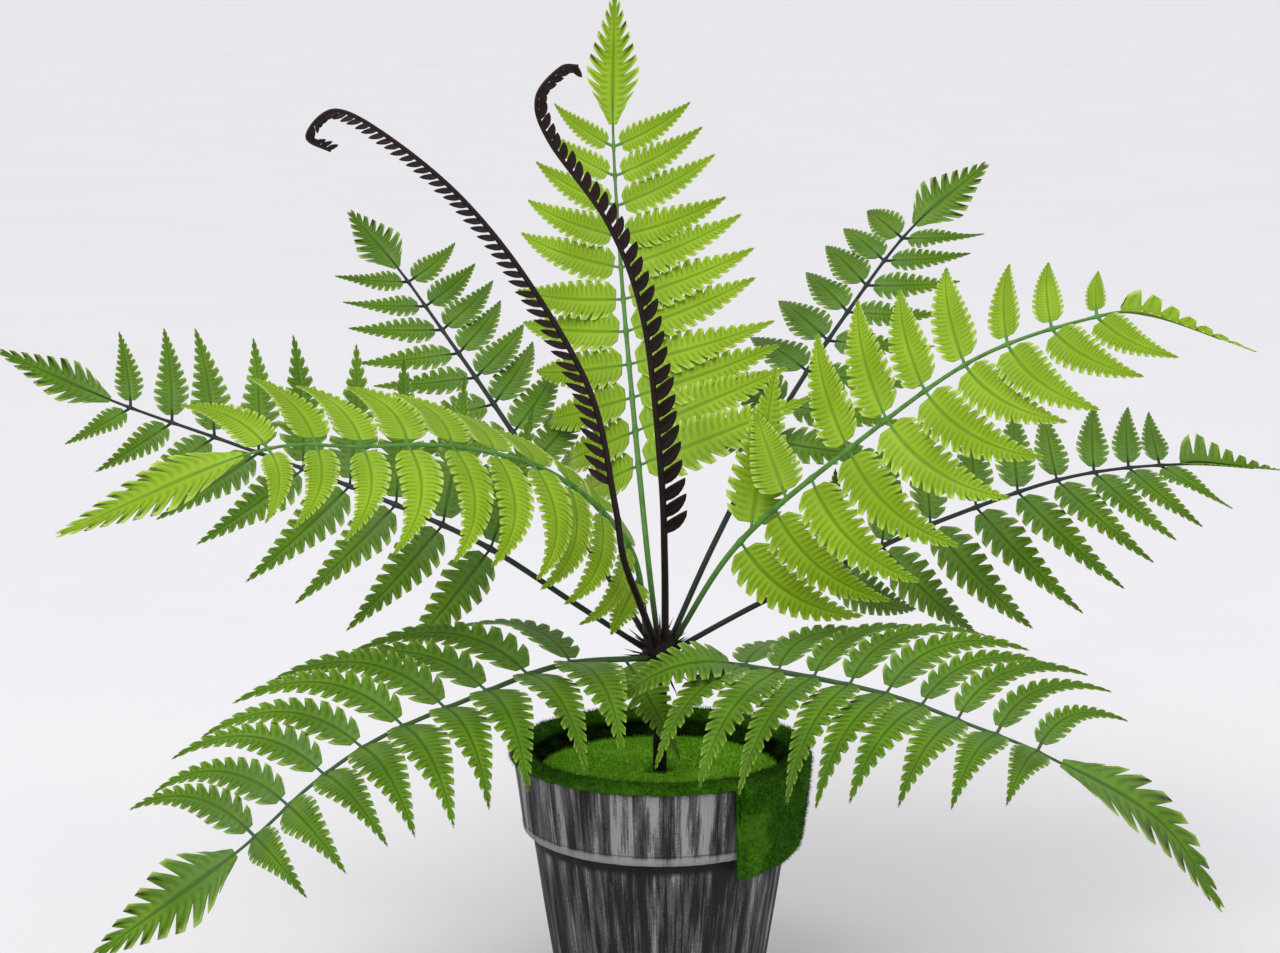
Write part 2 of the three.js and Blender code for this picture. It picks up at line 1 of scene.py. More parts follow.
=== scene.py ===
"""Looks of a potted artificial fern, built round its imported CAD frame.

Nine moulded fronds and two curled crosiers stand in a bristled crown on a short trunk, in a
tapered wood-look pot that is lined and topped with flocked moss. Sizes in the classes are in
millimetres and degrees, with +Z up and the front at -Y; meshes are made in metres.
"""

import logging
import math
import random
from collections.abc import Callable, Iterator, Sequence
from contextlib import contextmanager
from dataclasses import dataclass, field
from enum import Enum

import bmesh
import bpy
import numpy as np
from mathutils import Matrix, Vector, noise

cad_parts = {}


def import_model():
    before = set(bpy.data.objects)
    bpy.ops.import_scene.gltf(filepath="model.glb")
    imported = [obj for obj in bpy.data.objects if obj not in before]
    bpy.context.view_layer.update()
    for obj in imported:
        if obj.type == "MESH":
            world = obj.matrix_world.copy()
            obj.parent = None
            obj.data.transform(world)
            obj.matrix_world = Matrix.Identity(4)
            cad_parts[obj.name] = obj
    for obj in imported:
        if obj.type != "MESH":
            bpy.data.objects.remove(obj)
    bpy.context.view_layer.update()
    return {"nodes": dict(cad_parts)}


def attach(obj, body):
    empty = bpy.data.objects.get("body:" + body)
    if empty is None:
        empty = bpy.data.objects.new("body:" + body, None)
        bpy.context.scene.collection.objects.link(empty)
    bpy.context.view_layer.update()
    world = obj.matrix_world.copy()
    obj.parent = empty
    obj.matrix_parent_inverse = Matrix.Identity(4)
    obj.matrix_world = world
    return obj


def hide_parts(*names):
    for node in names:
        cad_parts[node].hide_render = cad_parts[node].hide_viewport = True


LOG = logging.getLogger("potted_fern")
MM = 0.001

# A leaf's map counts its teeth: as many as this to a whole length of the map.
VEINS = 20
# Radians by which the wave of the veins slants back to the leaf's edge, and where it starts.
VEIN_SLANT = 3.8
VEIN_START = 0.71
# How far the wood grain's pattern jumps from the pot's body to its rim band.
BAND_JUMP = 3.7
# Vertices nearer to each other than this, in metres, are merged.
SAME_PLACE = 2e-6

Places = np.ndarray
Triple = tuple[float, float, float]
Pair = tuple[float, float]


class Slot(Enum):
    """Material slot names for the pieces made here, which only pick the leaf and stalk finishes.
    """

    POT = "pot"
    MOSS = "moss"
    BROWN = "brown"
    STEM = "stem"
    LIME = "lime_leaf"
    DARK = "dark_leaf"


# ---- working with meshes --------------------------------------------------------------------


def deselect() -> None:
    """Leaves edit mode and clears the selection."""
    if bpy.context.object and bpy.context.object.mode != "OBJECT":
        bpy.ops.object.mode_set(mode="OBJECT")
    bpy.ops.object.select_all(action="DESELECT")


def pick(piece: bpy.types.Object) -> None:
    """Makes one object the only one selected, and the active one."""
    deselect()
    piece.select_set(True)
    bpy.context.view_layer.objects.active = piece


@contextmanager
def editing(selection: str = "SELECT") -> Iterator[None]:
    """Keeps the active object in edit mode, and starts with its whole mesh selected.

    Args:
        selection: "DESELECT" to start with nothing selected.
    """
    bpy.ops.object.mode_set(mode="EDIT")
    bpy.ops.mesh.select_all(action=selection)
    yield
    bpy.ops.object.mode_set(mode="OBJECT")


def fresh(name: str) -> bpy.types.Object:
    """Names the object that an operator has just added, and returns it."""
    piece = bpy.context.object
    piece.name = name
    piece.data.name = name
    return piece


def shown(name: str, data: bpy.types.ID) -> bpy.types.Object:
    """A new object in the scene that holds the data."""
    piece = bpy.data.objects.new(name, data)
    bpy.context.scene.collection.objects.link(piece)
    return piece


def joined(pieces: Sequence[bpy.types.Object], name: str) -> bpy.types.Object:
    """Joins several objects into one.

    Args:
        pieces: the objects, of which the first keeps its settings.
        name: the name of the joined object.

    Returns:
        The joined object.
    """
    deselect()
    for piece in pieces:
        piece.select_set(True)
    bpy.context.view_layer.objects.active = pieces[0]
    if len(pieces) > 1:
        bpy.ops.object.join()
    return fresh(name)


def applied(piece: bpy.types.Object, kind: str, **settings: object) -> bpy.types.Object:
    """Adds a modifier to a piece and applies it.

    Args:
        piece: the object.
        kind: the modifier's type.
        settings: values of the modifier's properties.

    Returns:
        The same object.
    """
    pick(piece)
    modifier = piece.modifiers.new(kind.title(), kind)
    for key, value in settings.items():
        setattr(modifier, key, value)
    bpy.ops.object.modifier_apply(modifier=modifier.name)
    return piece


def rounded_off(piece: bpy.types.Object, angle: float) -> bpy.types.Object:
    """Merges doubles, turns the normals outwards and smooths edges below an angle.

    Args:
        piece: the object.
        angle: the sharpest angle in degrees that is still smoothed.

    Returns:
        The same object.
    """
    pick(piece)
    with editing():
        bpy.ops.mesh.remove_doubles(threshold=SAME_PLACE)
        bpy.ops.mesh.normals_make_consistent(inside=False)
    bpy.ops.object.shade_smooth_by_angle(angle=math.radians(angle))
    return piece


def unit(v: Places) -> Places:
    """Vectors of the same directions and of length one."""
    return v / np.linalg.norm(v, axis=-1, keepdims=True)


def square_to(wish: Places, way: Places) -> Places:
    """Directions square to unit vectors, as near as can be to a wished one."""
    return unit(wish - (wish * way).sum(-1, keepdims=True) * way)


def places_of(mesh: bpy.types.Mesh) -> Places:
    """The vertex places of a mesh as rows."""
    flat = np.empty(len(mesh.vertices) * 3)
    mesh.vertices.foreach_get("co", flat)
    return flat.reshape(-1, 3)


def moved_to(mesh: bpy.types.Mesh, places: Places) -> None:
    """Puts the vertices of a mesh at new places."""
    mesh.vertices.foreach_set("co", places.ravel())
    mesh.update()


def rods(name: str, strands: Sequence[tuple[Places, Places]], sides: int = 8) -> bpy.types.Object:
    """Round closed rods along lines, as one object.

    Args:
        name: the object's name.
        strands: for each rod the points it follows and its radius at each of them.
        sides: how many sides a rod has round it.

    Returns:
        The object, a mesh.
    """
    curve = bpy.data.curves.new(name, "CURVE")
    curve.dimensions = "3D"
    curve.bevel_depth = MM
    curve.bevel_resolution = (sides - 4) // 2
    curve.use_fill_caps = True
    for points, radii in strands:
        spline = curve.splines.new("POLY")
        spline.points.add(len(points) - 1)
        spline.points.foreach_set("co", np.c_[points * MM, np.ones(len(points))].ravel())
        spline.points.foreach_set("radius", np.asarray(radii, float))
    piece = shown(name, curve)
    pick(piece)
    bpy.ops.object.convert(target="MESH")
    return rounded_off(fresh(name), angle=60)


def turned(name: str, rings: Sequence[Pair], sides: int, fill: str) -> bpy.types.Object:
    """A round shell, drawn up ring by ring from a circle.

    Args:
        name: the object's name.
        rings: radius and height of each ring, in order.
        sides: how many sides the shell has round it.
        fill: "NGON" to close the first and the last ring, "NOTHING" to leave both open.

    Returns:
        The object.
    """
    deselect()
    extrude = bpy.ops.mesh.extrude_region if fill == "NGON" else bpy.ops.mesh.extrude_edges_move
    radius, height = rings[0]
    bpy.ops.mesh.primitive_circle_add(vertices=sides, radius=radius * MM, fill_type=fill)
    piece = fresh(name)
    with editing():
        bpy.ops.transform.translate(value=(0, 0, height * MM))
        for (r0, z0), (r1, z1) in zip(rings, rings[1:]):
            extrude()
            k = r1 / r0
            bpy.ops.transform.resize(value=(k, k, 1), center_override=(0, 0, z0 * MM))
            bpy.ops.transform.translate(value=(0, 0, (z1 - z0) * MM))
    return piece


def sown(name: str, seed: bpy.types.Mesh, frames: Places) -> bpy.types.Object:
    """Many copies of a small mesh as one object.

    Args:
        name: the object's name.
        seed: the mesh that is copied, in millimetres.
        frames: a 3 by 4 matrix for each copy, which takes the seed to its place in millimetres.

    Returns:
        The object.
    """
    rest = places_of(seed)
    count = len(rest)
    places = np.einsum("nij,vj->nvi", frames[:, :, :3], rest) + frames[:, None, :, 3]
    faces = [list(polygon.vertices) for polygon in seed.polygons]
    mesh = bpy.data.meshes.new(name)
    every = [[v + k * count for v in face] for k in range(len(frames)) for face in faces]
    mesh.from_pydata((places.reshape(-1, 3) * MM).tolist(), [], every)
    mesh.update()
    return shown(name, mesh)


def upright(heights: Places) -> Places:
    """Points at heights on the middle line of the pot."""
    return np.c_[np.zeros((len(heights), 2)), heights]


def spiked(name: str, sides: int, radii: Pair, long: float, sunk: float) -> bpy.types.Mesh:
    """A slim spike up +Z in millimetres, to be sown.

    Args:
        name: the mesh's name.
        sides: how many sides it has.
        radii: its radius at the foot and at the tip.
        long: its length.
        sunk: how far its foot is below the origin.

    Returns:
        The mesh, without an object.
    """
    deselect()
    bpy.ops.mesh.primitive_cone_add(
        vertices=sides, radius1=radii[0], radius2=radii[1], depth=long
    )
    piece = fresh(name)
    mesh = piece.data
    moved_to(mesh, places_of(mesh) + np.array([0, 0, long / 2 - sunk]))
    bpy.data.objects.remove(piece)
    return mesh


def stood(point: Places, way: Places, twist: float, size: float) -> Places:
    """The matrix that stands a seed, which points up +Z, at a point.

    Args:
        point: where the seed's origin goes.
        way: unit vector along which the seed points.
        twist: turn about that vector, in radians.
        size: scale of the seed.

    Returns:
        A 3 by 4 matrix.
    """
    aside = np.array([1.0, 0, 0]) if abs(way[0]) < 0.8 else np.array([0, 1.0, 0])
    x = square_to(aside, way)
    y = np.cross(way, x)
    c, s = math.cos(twist), math.sin(twist)
    return np.c_[size * (c * x + s * y), size * (c * y - s * x), size * way, point]


def place_in_frame(
    piece: bpy.types.Object, finish: bpy.types.Material, slot: Slot, *nodes: str
) -> None:
    """Gives a piece its finish and makes it ride on the root body in place of CAD nodes.

    Args:
        piece: the finished object.
        finish: the only material it keeps.
        slot: not used.
        nodes: the CAD nodes that it stands for.
    """
    piece.data.materials.clear()
    piece.data.materials.append(finish)
    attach(piece, "root")
    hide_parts(*nodes)
    LOG.info("%s stands for %s: %d faces", piece.name, ", ".join(nodes), len(piece.data.polygons))


# ---- paint ----------------------------------------------------------------------------------


def tint(code: int) -> tuple[float, float, float, float]:
    """The linear colour of a display colour.

    Args:
        code: the display colour, written as 0xRRGGBB.

    Returns:
        Red, green, blue and an alpha of 1.
    """
    parts = [((code >> shift) & 255) / 255 for shift in (16, 8, 0)]
    linear = [c / 12.92 if c <= 0.04045 else ((c + 0.055) / 1.055) ** 2.4 for c in parts]
    return (linear[0], linear[1], linear[2], 1.0)


class Wire:
    """A value that runs between nodes, written in sums like a number."""

    def __init__(self, paint: "Paint", socket: bpy.types.NodeSocket) -> None:
        """Keeps the paint and the output socket that the value comes from."""
        self.paint = paint
        self.socket = socket

    def _sum(self, operation: str, *values: "Wire | float") -> "Wire":
        """The result of a Math node on the values."""
        return self.paint.add("ShaderNodeMath", {"operation": operation}, dict(enumerate(values)))

    def __add__(self, other: "Wire | float") -> "Wire":
        """Sum."""
        return self._sum("ADD", self, other)

    __radd__ = __add__

    def __mul__(self, other: "Wire | float") -> "Wire":
        """Product."""
        return self._sum("MULTIPLY", self, other)

    __rmul__ = __mul__

    def __sub__(self, other: "Wire | float") -> "Wire":
        """Difference."""
        return self._sum("SUBTRACT", self, other)

    def __rsub__(self, other: float) -> "Wire":
        """Difference from a number."""
        return self._sum("SUBTRACT", other, self)

    def __abs__(self) -> "Wire":
        """Size without sign."""
        return self._sum("ABSOLUTE", self)

    def sine(self) -> "Wire":
        """Sine of an angle in radians."""
        return self._sum("SINE", self)

    def rise(self, low: float, high: float) -> "Wire":
        """A smooth step from 0 at the low value to 1 at the high one."""
        return self.paint.add(
            "ShaderNodeMapRange",
            {"interpolation_type": "SMOOTHSTEP", "clamp": True},
            {0: self, 1: low, 2: high, 3: 0.0, 4: 1.0},
        )


class Paint:
    """The node tree of one procedural material."""

    def __init__(self, name: str) -> None:
        """Starts an empty material of the name."""
        self.material = bpy.data.materials.new(name)
        self.material.use_nodes = True
        self.tree = self.material.node_tree
        self.tree.nodes.clear()

    def add(
        self,
        kind: str,
        settings: dict[str, object] | None = None,
        sockets: dict[int | str, object] | None = None,
        output: int | str = 0,
    ) -> Wire:
        """Adds a node.

        Args:
            kind: the node's type.
            settings: its properties, set first.
            sockets: a value or a wire for each input that isn't left as it is.
            output: which output is returned.

        Returns:
            The output as a wire.
        """
        node = self.tree.nodes.new(kind)
        for key, value in (settings or {}).items():
            setattr(node, key, value)
        for key, value in (sockets or {}).items():
            if isinstance(value, Wire):
                self.tree.links.new(value.socket, node.inputs[key])
            else:
                node.inputs[key].default_value = value
        return Wire(self, node.outputs[output])

    def where(self) -> Wire:
        """Place on the object, in metres."""
        return self.add("ShaderNodeTexCoord", output="Object")

    def vector(self, operation: str, *values: Wire | Triple) -> Wire:
        """The result of a Vector Math node on the values."""
        return self.add("ShaderNodeVectorMath", {"operation": operation}, dict(enumerate(values)))

    def parts(self, vector: Wire) -> list[Wire]:
        """The three parts of a vector."""
        split = self.add("ShaderNodeSeparateXYZ", None, {0: vector})
        node = split.socket.node
        return [Wire(self, node.outputs[i]) for i in range(3)]

    def grain(self, vector: Wire, scale: float, detail: float = 3, rough: float = 0.55) -> Wire:
        """Noise of about 0 to 1 at a scale per metre."""
        return self.add(
            "ShaderNodeTexNoise",
            None,
            {"Vector": vector, "Scale": scale, "Detail": detail, "Roughness": rough},
        )

    def blend(self, factor: Wire, first: object, second: object) -> Wire:
        """A colour between two others, the second where the factor is 1."""
        return self.add(
            "ShaderNodeMix",
            {"data_type": "RGBA", "clamp_factor": True},
            {0: factor, 6: first, 7: second},
            2,
        )

    def bumps(self, height: Wire, distance: float) -> Wire:
        """A surface direction from a height of 0 to 1 that stands for a distance in mm."""
        return self.add("ShaderNodeBump", None, {"Height": height, "Distance": distance * MM})

    def surface(self, **sockets: object) -> bpy.types.Material:
        """Ends the material in a Principled shader.

        Args:
            sockets: value or wire by socket name, with _ for a space.

        Returns:
            The material.
        """
        named = {key.replace("_", " "): value for key, value in sockets.items()}
        shader = self.add("ShaderNodeBsdfPrincipled", None, named)
        end = self.tree.nodes.new("ShaderNodeOutputMaterial")
        self.tree.links.new(shader.socket, end.inputs["Surface"])
        return self.material


@dataclass(frozen=True)
class LeafFinish:
    """Satin moulded leaf plastic: deeper along the midrib, paler at the teeth, where a pale glow
    is painted on as a highlight.

    The body turns in patches to its bloom, and near the foot to its sheen, a highlight painted
    into the colour. The shares say how strongly the painted highlight at the edge, the valleys
    between the veins and the painted sheen show.
    """

    name: str
    body: int
    rib: int
    # edge: the colour of the painted highlight, a pale glow towards the tooth tips.
    edge: int
    bloom: int
    # sheen: the colour of the sheen painted near the foot, a painted highlight.
    painted_sheen: int
    edge_highlight_share: float
    vein_share: float
    painted_sheen_share: float
    rib_share: float = 0.7
    relief: float = 0.35

    def mixed(self) -> bpy.types.Material:
        """Mixes the finish.

        Returns:
            The material, which reads the leaf's own map: along it and across it.
        """
        paint = Paint(self.name)
        along, across, _ = paint.parts(paint.add("ShaderNodeTexCoord", output="UV"))
        out = abs(across - 0.5) * 2
        where = paint.where()
        patches = paint.grain(where, 26, 2)
        speckle = paint.grain(where, 420, 2)
        body = paint.blend(patches.rise(0.35, 0.7), tint(self.body), tint(self.bloom))
        angle = along * (2 * math.pi * VEINS) - out * VEIN_SLANT + VEIN_START
        wave = angle.sine() * 0.5 + 0.5
        valleys = (1 - wave.rise(0.15, 0.75)) * out.rise(0.08, 0.4)
        body = paint.blend(valleys * self.vein_share, body, tint(self.rib))
        # Painted sheen: a highlight painted in speckles over the first part of each leaf.
        foot = (1 - along.rise(0.05, 0.45)) * speckle.rise(0.2, 0.7)
        body = paint.blend(foot * self.painted_sheen_share, body, tint(self.painted_sheen))
        # Painted highlight: a pale glow painted towards the tooth tips.
        edge = out.rise(0.7, 1.0) * self.edge_highlight_share
        body = paint.blend(edge, body, tint(self.edge))
        rib = 1 - out.rise(0.03, 0.12)
        body = paint.blend(rib * self.rib_share, body, tint(self.rib))
        height = wave * out.rise(0.05, 0.3) * 0.8 + speckle * 0.1 - rib * 0.4
        return paint.surface(
            Base_Color=body,
            Roughness=speckle * 0.12 + 0.45,
            Normal=paint.bumps(height, self.relief),
            Specular_IOR_Level=0.22,
        )


@dataclass(frozen=True)
class StalkFinish:
    """Satin stalk plastic that goes from a foot colour up to its own colour."""

    name: str
    foot: int
    body: int
    low: float
    high: float
    relief: float = 0.3

    def mixed(self) -> bpy.types.Material:
        """Mixes the finish, whose colour turns between the two heights."""
        paint = Paint(self.name)
        where = paint.where()
        height = paint.parts(where)[2]
        mottle = paint.grain(where, 180, 3)
        up = (height + mottle * 0.02).rise(self.low * MM, self.high * MM)
        base = paint.blend(up, tint(self.foot), tint(self.body))
        base = paint.blend(mottle.rise(0.4, 0.7) * 0.35, base, tint(self.foot))
        return paint.surface(
            Base_Color=base,
            Roughness=mottle * 0.2 + 0.4,
            Normal=paint.bumps(paint.grain(where, 900, 2), self.relief),
            Specular_IOR_Level=0.3,
        )


@dataclass(frozen=True)
class BrownFinish:
    """Dark brown plastic with a redder bloom on it."""

    name: str
    body: int
    bloom: int
    rough: float
    relief: float = 0.3

    def mixed(self) -> bpy.types.Material:
        """Mixes the finish."""
        paint = Paint(self.name)
        where = paint.where()
        mottle = paint.grain(where, 240, 3)
        base = paint.blend(mottle.rise(0.4, 0.75) * 0.6, tint(self.body), tint(self.bloom))
        return paint.surface(
            Base_Color=base,
            Roughness=mottle * 0.2 + self.rough,
            Normal=paint.bumps(paint.grain(where, 1100, 2), self.relief),
            Specular_IOR_Level=0.25,
        )


@dataclass(frozen=True)
class MossFinish:
    """Flocked pile, in patches of lighter and deeper green.

    Painted shade darkens it in a ring below the collar's lip, where the recess lies in shadow: the
    recess is the ring's radius, the lip its height, and each edge of the ring is soft.
    """

    name: str
    deep: int
    body: int
    tip: int
    # shade: the colour of the painted shade in the recess.
    shade: int
    recess: float
    lip: float
    recess_in: float = 2.5
    recess_out: float = 4.5
    lip_soft: float = 4
    relief: float = 1.2

    def mixed(self) -> bpy.types.Material:
        """Mixes the finish, whose painted shade is darkest in the recess under the collar's lip.
        """
        paint = Paint(self.name)
        where = paint.where()
        patches = paint.grain(where, 45, 3)
        tufts = paint.grain(where, 600, 3, 0.7)
        base = paint.blend(tufts.rise(0.3, 0.65), tint(self.deep), tint(self.body))
        base = paint.blend(patches.rise(0.45, 0.7) * 0.6, base, tint(self.tip))
        x, y, z = paint.parts(where)
        square = (x * x + y * y) * MM**-2
        end = self.recess + self.recess_out
        inside = 1 - square.rise(end**2, (end + 1) ** 2)
        low = 1 - z.rise((self.lip - self.lip_soft) * MM, self.lip * MM)
        far = square.rise((self.recess - self.recess_in) ** 2, self.recess**2)
        # Painted shade: the ring under the lip is darkened in patches towards the shade colour.
        recess_painted_shade = inside * low * far * (patches.rise(0.3, 0.6) * 0.6 + 0.4)
        base = paint.blend(recess_painted_shade, base, tint(self.shade))
        return paint.surface(
            Base_Color=base,
            Roughness=tufts * 0.1 + 0.88,
            Normal=paint.bumps(tufts, self.relief),
            Specular_IOR_Level=0.1,
        )


@dataclass(frozen=True)
class WoodLookFinish:
    """Charcoal plastic whose raised grain is brushed with light grey.

    A painted shadow darkens the body below the rim band's foot, and a light line with a thin dark
    one over it runs along the band's rounded edge.
    """

    name: str
    ground: int
    middle: int
    brushed: int
    # gap: the colour of the painted shadow under the band, also used for the thin dark line.
    gap: int
    band_foot: float
    band_edge: float
    stretch: float = 1.7
    offset: float = 0.7
    relief: float = 1.4

    def mixed(self) -> bpy.types.Material:
        """Mixes the finish, whose streaks run up the pot and start anew on its rim band."""
        paint = Paint(self.name)
        where = paint.where()
        z = paint.parts(where)[2]
        round_it = paint.vector("NORMALIZE", paint.vector("MULTIPLY", where, (1, 1, 0)))
        on_band = z.rise((self.band_foot - 0.4) * MM, self.band_foot * MM)
        up = z * self.stretch + on_band * BAND_JUMP + self.offset
        along = paint.vector("ADD", round_it, paint.add("ShaderNodeCombineXYZ", None, {2: up}))
        planks = paint.grain(along, 3.6, 2, 0.4)
        strokes = paint.grain(along, 10, 3, 0.55)
        hairs = paint.grain(paint.vector("MULTIPLY", along, (1, 1, 0.2)), 70, 3, 0.7)
        grit = paint.grain(where, 900, 2)
        level = planks * 0.3 + strokes + hairs * 0.55 + grit * 0.18 + on_band * 0.09
        base = paint.blend(level.rise(0.96, 1.10), tint(self.ground), tint(self.middle))
        base = paint.blend(level.rise(1.10, 1.24), base, tint(self.brushed))
        # Painted shadow under the band's overhang: the body is darkened up to the band's foot,
        # fading out 8 mm below it.
        gap = (1 - on_band) * z.rise((self.band_foot - 8) * MM, (self.band_foot - 4) * MM)
        base = paint.blend(gap, base, tint(self.gap))
        edge = on_band * (1 - z.rise((self.band_edge - 2) * MM, self.band_edge * MM))
        base = paint.blend(edge * strokes.rise(0.2, 0.45) * 0.85, base, tint(self.brushed))
        top = self.band_edge + 0.3
        line = z.rise((top - 0.8) * MM, (top - 0.4) * MM)
        line *= 1 - z.rise(top * MM, (top + 0.4) * MM)
        base = paint.blend(line * hairs.rise(0.3, 0.6) * 0.7, base, tint(self.gap))
        return paint.surface(
            Base_Color=base,
            Roughness=0.8 - level.rise(0.8, 1.1) * 0.15,
            Normal=paint.bumps(level, self.relief),
            Specular_IOR_Level=0.3,
        )


@dataclass(frozen=True)
class PlainFinish:
    """A dull finish with a slight mottle, for what is hardly seen and for the floor."""

    name: str
    body: int
    mottle: int
    scale: float
    rough: float

    def mixed(self) -> bpy.types.Material:
        """Mixes the finish."""
        paint = Paint(self.name)
        speckle = paint.grain(paint.where(), self.scale, 3)
        base = paint.blend(speckle.rise(0.3, 0.7), tint(self.body), tint(self.mottle))
        return paint.surface(Base_Color=base, Roughness=self.rough, Specular_IOR_Level=0.2)


# ---- leaves ---------------------------------------------------------------------------------


@dataclass(frozen=True)
class LeafDie:
    """The flat shape of a toothed leaf, one long and one wide to either side.

    Its half width grows from a share at the foot to the whole at its widest place, and falls to
    the tip on a curve that the powers full and taper shape. The teeth of each edge are cut to a
    depth, lean forward by a part of their pitch, stand closer to the tip as they crowd, and bend
    in their backs at a shoulder. The keel is how high the edges fold up over the midrib.
    """

    name: str
    teeth: int
    widest: float
    foot: float
    full: float
    taper: float
    depth: float
    lean: float
    crowd: float = 1.12
    keel: float = 0.16
    shoulder: float = 0.42
    tip: float = 0.02
    fold_line: float = 0.24
    droop: float = 0.45
    tooth_reach: float = 0.6

    def start_of(self, tooth: float) -> float:
        """Share of the length at which a tooth starts, counted from the foot."""
        return 1 - (1 - tooth / self.teeth) ** self.crowd

    def spread(self, x: float) -> float:
        """Half width of the leaf.

        Args:
            x: share of the length.

        Returns:
            The half width, 1 at the widest.
        """
        if x < self.widest:
            return self.foot + (1 - self.foot) * math.sin(math.pi / 2 * x / self.widest)
        past = min((x - self.widest) / (1 - self.widest), 1.0)
        return (1 - past**self.full) ** self.taper + self.tip

    def cut(self) -> bpy.types.Mesh:
        """Shapes the leaf from a grid and pulls its teeth out of the grid's long edges.

        Returns:
            The leaf's mesh, with its map: x along it, y across it, and 0.5 on the midrib.
        """
        deselect()
        bpy.ops.mesh.primitive_grid_add(x_subdivisions=self.teeth, y_subdivisions=4, size=2)
        piece = fresh(self.name)
        mesh = piece.data
        across = (-(1 - self.depth), -self.fold_line, 0.0, self.fold_line, 1 - self.depth)
        with editing():
            bpy.ops.mesh.select_mode(type="EDGE")
            bm = bmesh.from_edit_mesh(mesh)
            share = bm.verts.layers.float.new("share")
            phase = bm.verts.layers.float.new("phase")
            row = bm.verts.layers.int.new("row")
            for v in bm.verts:
                v[row] = round((v.co.x + 1) / 2 * self.teeth)
                v[phase] = v[row]
                v[share] = across[round((v.co.y + 1) * 2)]
                x = self.start_of(v[row])
                v.co = (x, v[share] * self.spread(x), self.fold(v[share]) * self.spread(x))
            bmesh.update_edit_mesh(mesh)
            if self.depth > 0:
                self._pull_teeth(mesh, 0)
                self._pull_teeth(mesh, 1)
        self._map(mesh)
        bpy.data.objects.remove(piece)
        return mesh

    def fold(self, share: float) -> float:
        """Height of the leaf over its midrib at a share of its half width."""
        return self.keel * (abs(share) - self.droop * share * share)

    def _pull_teeth(self, mesh: bpy.types.Mesh, odd: int) -> None:
        """Extrudes every second stretch of both edges and shapes each into a tooth.

        Args:
            mesh: the leaf in edit mode.
            odd: 0 for the stretches of even number, 1 for the others.
        """
        bpy.ops.mesh.select_all(action="DESELECT")
        bm = bmesh.from_edit_mesh(mesh)
        share = bm.verts.layers.float["share"]
        row = bm.verts.layers.int["row"]
        rim = 1 - self.depth - 1e-4
        for edge in bm.edges:
            a, b = edge.verts
            outer = abs(a[share]) > rim and abs(b[share]) > rim and a[share] * b[share] > 0
            start = min(a[row], b[row])
            if outer and start % 2 == odd and start < self.teeth - 1 and len(edge.link_faces) == 1:
                edge.select = True
        bmesh.update_edit_mesh(mesh)
        bpy.ops.mesh.extrude_edges_indiv()
        bm = bmesh.from_edit_mesh(mesh)
        share = bm.verts.layers.float["share"]
        phase = bm.verts.layers.float["phase"]
        row = bm.verts.layers.int["row"]
        for edge in [e for e in bm.edges if e.select]:
            low, high = sorted(edge.verts, key=lambda v: v.co.x)
            hand = 1 if low.co.y > 0 else -1
            start = self.start_of(low[row])
            pitch = self.start_of(low[row] + 1) - start
            wide = self.spread(start + pitch / 2)
            low[share] = hand * (1 - self.depth * (1 - self.shoulder))
            high[share] = hand
            middle = low[row] + 0.5
            low[phase], high[phase] = middle + 0.12, middle + 0.24
            forward = (self.tooth_reach + self.lean) * pitch
            high.co = (start + forward, hand * wide, 0.9 * self.fold(1) * wide)
            low.co = low.co.lerp(high.co, self.shoulder)
            low.co.x -= 0.05 * pitch
        bmesh.update_edit_mesh(mesh)

    def _map(self, mesh: bpy.types.Mesh) -> None:
        """Writes the leaf's own map, whose length counts teeth, and drops the layers."""
        shares = [item.value for item in mesh.attributes["share"].data]
        phases = [item.value for item in mesh.attributes["phase"].data]
        layer = mesh.uv_layers[0] if mesh.uv_layers else mesh.uv_layers.new(name="UVMap")
        layer.name = "UVMap"
        for loop in mesh.loops:
            v = loop.vertex_index
            layer.data[loop.index].uv = (phases[v] / VEINS, 0.5 + shares[v] / 2)
        for name in ("share", "phase", "row"):
            mesh.attributes.remove(mesh.attributes[name])


@dataclass(frozen=True)
class Line:
    """The centre line of a leaf and the way its face looks."""

    centre: Callable[[Places], Places]
    face: Places
    long: float
    waves: float = 9

    def frame_at(self, t: Places) -> tuple[Places, Places, Places, Places]:
        """Where the leaf is and how it lies at shares of its length.

        Args:
            t: the shares, 0 at the foot.

        Returns:
            Its places, headings, sideways and upwards directions, one row for each share.
        """
        step = 0.01
        way = unit(self.centre(t + step) - self.centre(t - step))
        up = square_to(np.broadcast_to(self.face, way.shape), way)
        return self.centre(t), way, np.cross(up, way), up

    def press(
        self,
        die: bpy.types.Mesh,
        half: float,
        start: float,
        roll: Pair,
        wave: float,
        keel: float = 1.0,
    ) -> bpy.types.Object:
        """Presses a copy of the flat leaf along the line.

        Args:
            die: the flat leaf.
            half: its half width in millimetres.
            start: share of the line where the leaf begins, after its stalk.
            roll: turn about the line at its start and tip, in radians.
            wave: how far the leaf waves up and down, in millimetres.
            keel: how much deeper than the die the leaf is folded along its midrib.

        Returns:
            The leaf, still without thickness.
        """
        mesh = die.copy()
        rest = places_of(mesh)
        t = start + (1 - start) * rest[:, 0]
        place, _, side, up = self.frame_at(t)
        angle = (roll[0] + (roll[1] - roll[0]) * t)[:, None]
        across = side * np.cos(angle) + up * np.sin(angle)
        over = up * np.cos(angle) - side * np.sin(angle)
        waves = wave * np.sin(self.waves * t)[:, None] * np.abs(rest[:, 1:2])
        lift = rest[:, 2:3] * half * keel + waves
        moved_to(mesh, (place + across * rest[:, 1:2] * half + over * lift) * MM)
        return shown(die.name + "_pressed", mesh)


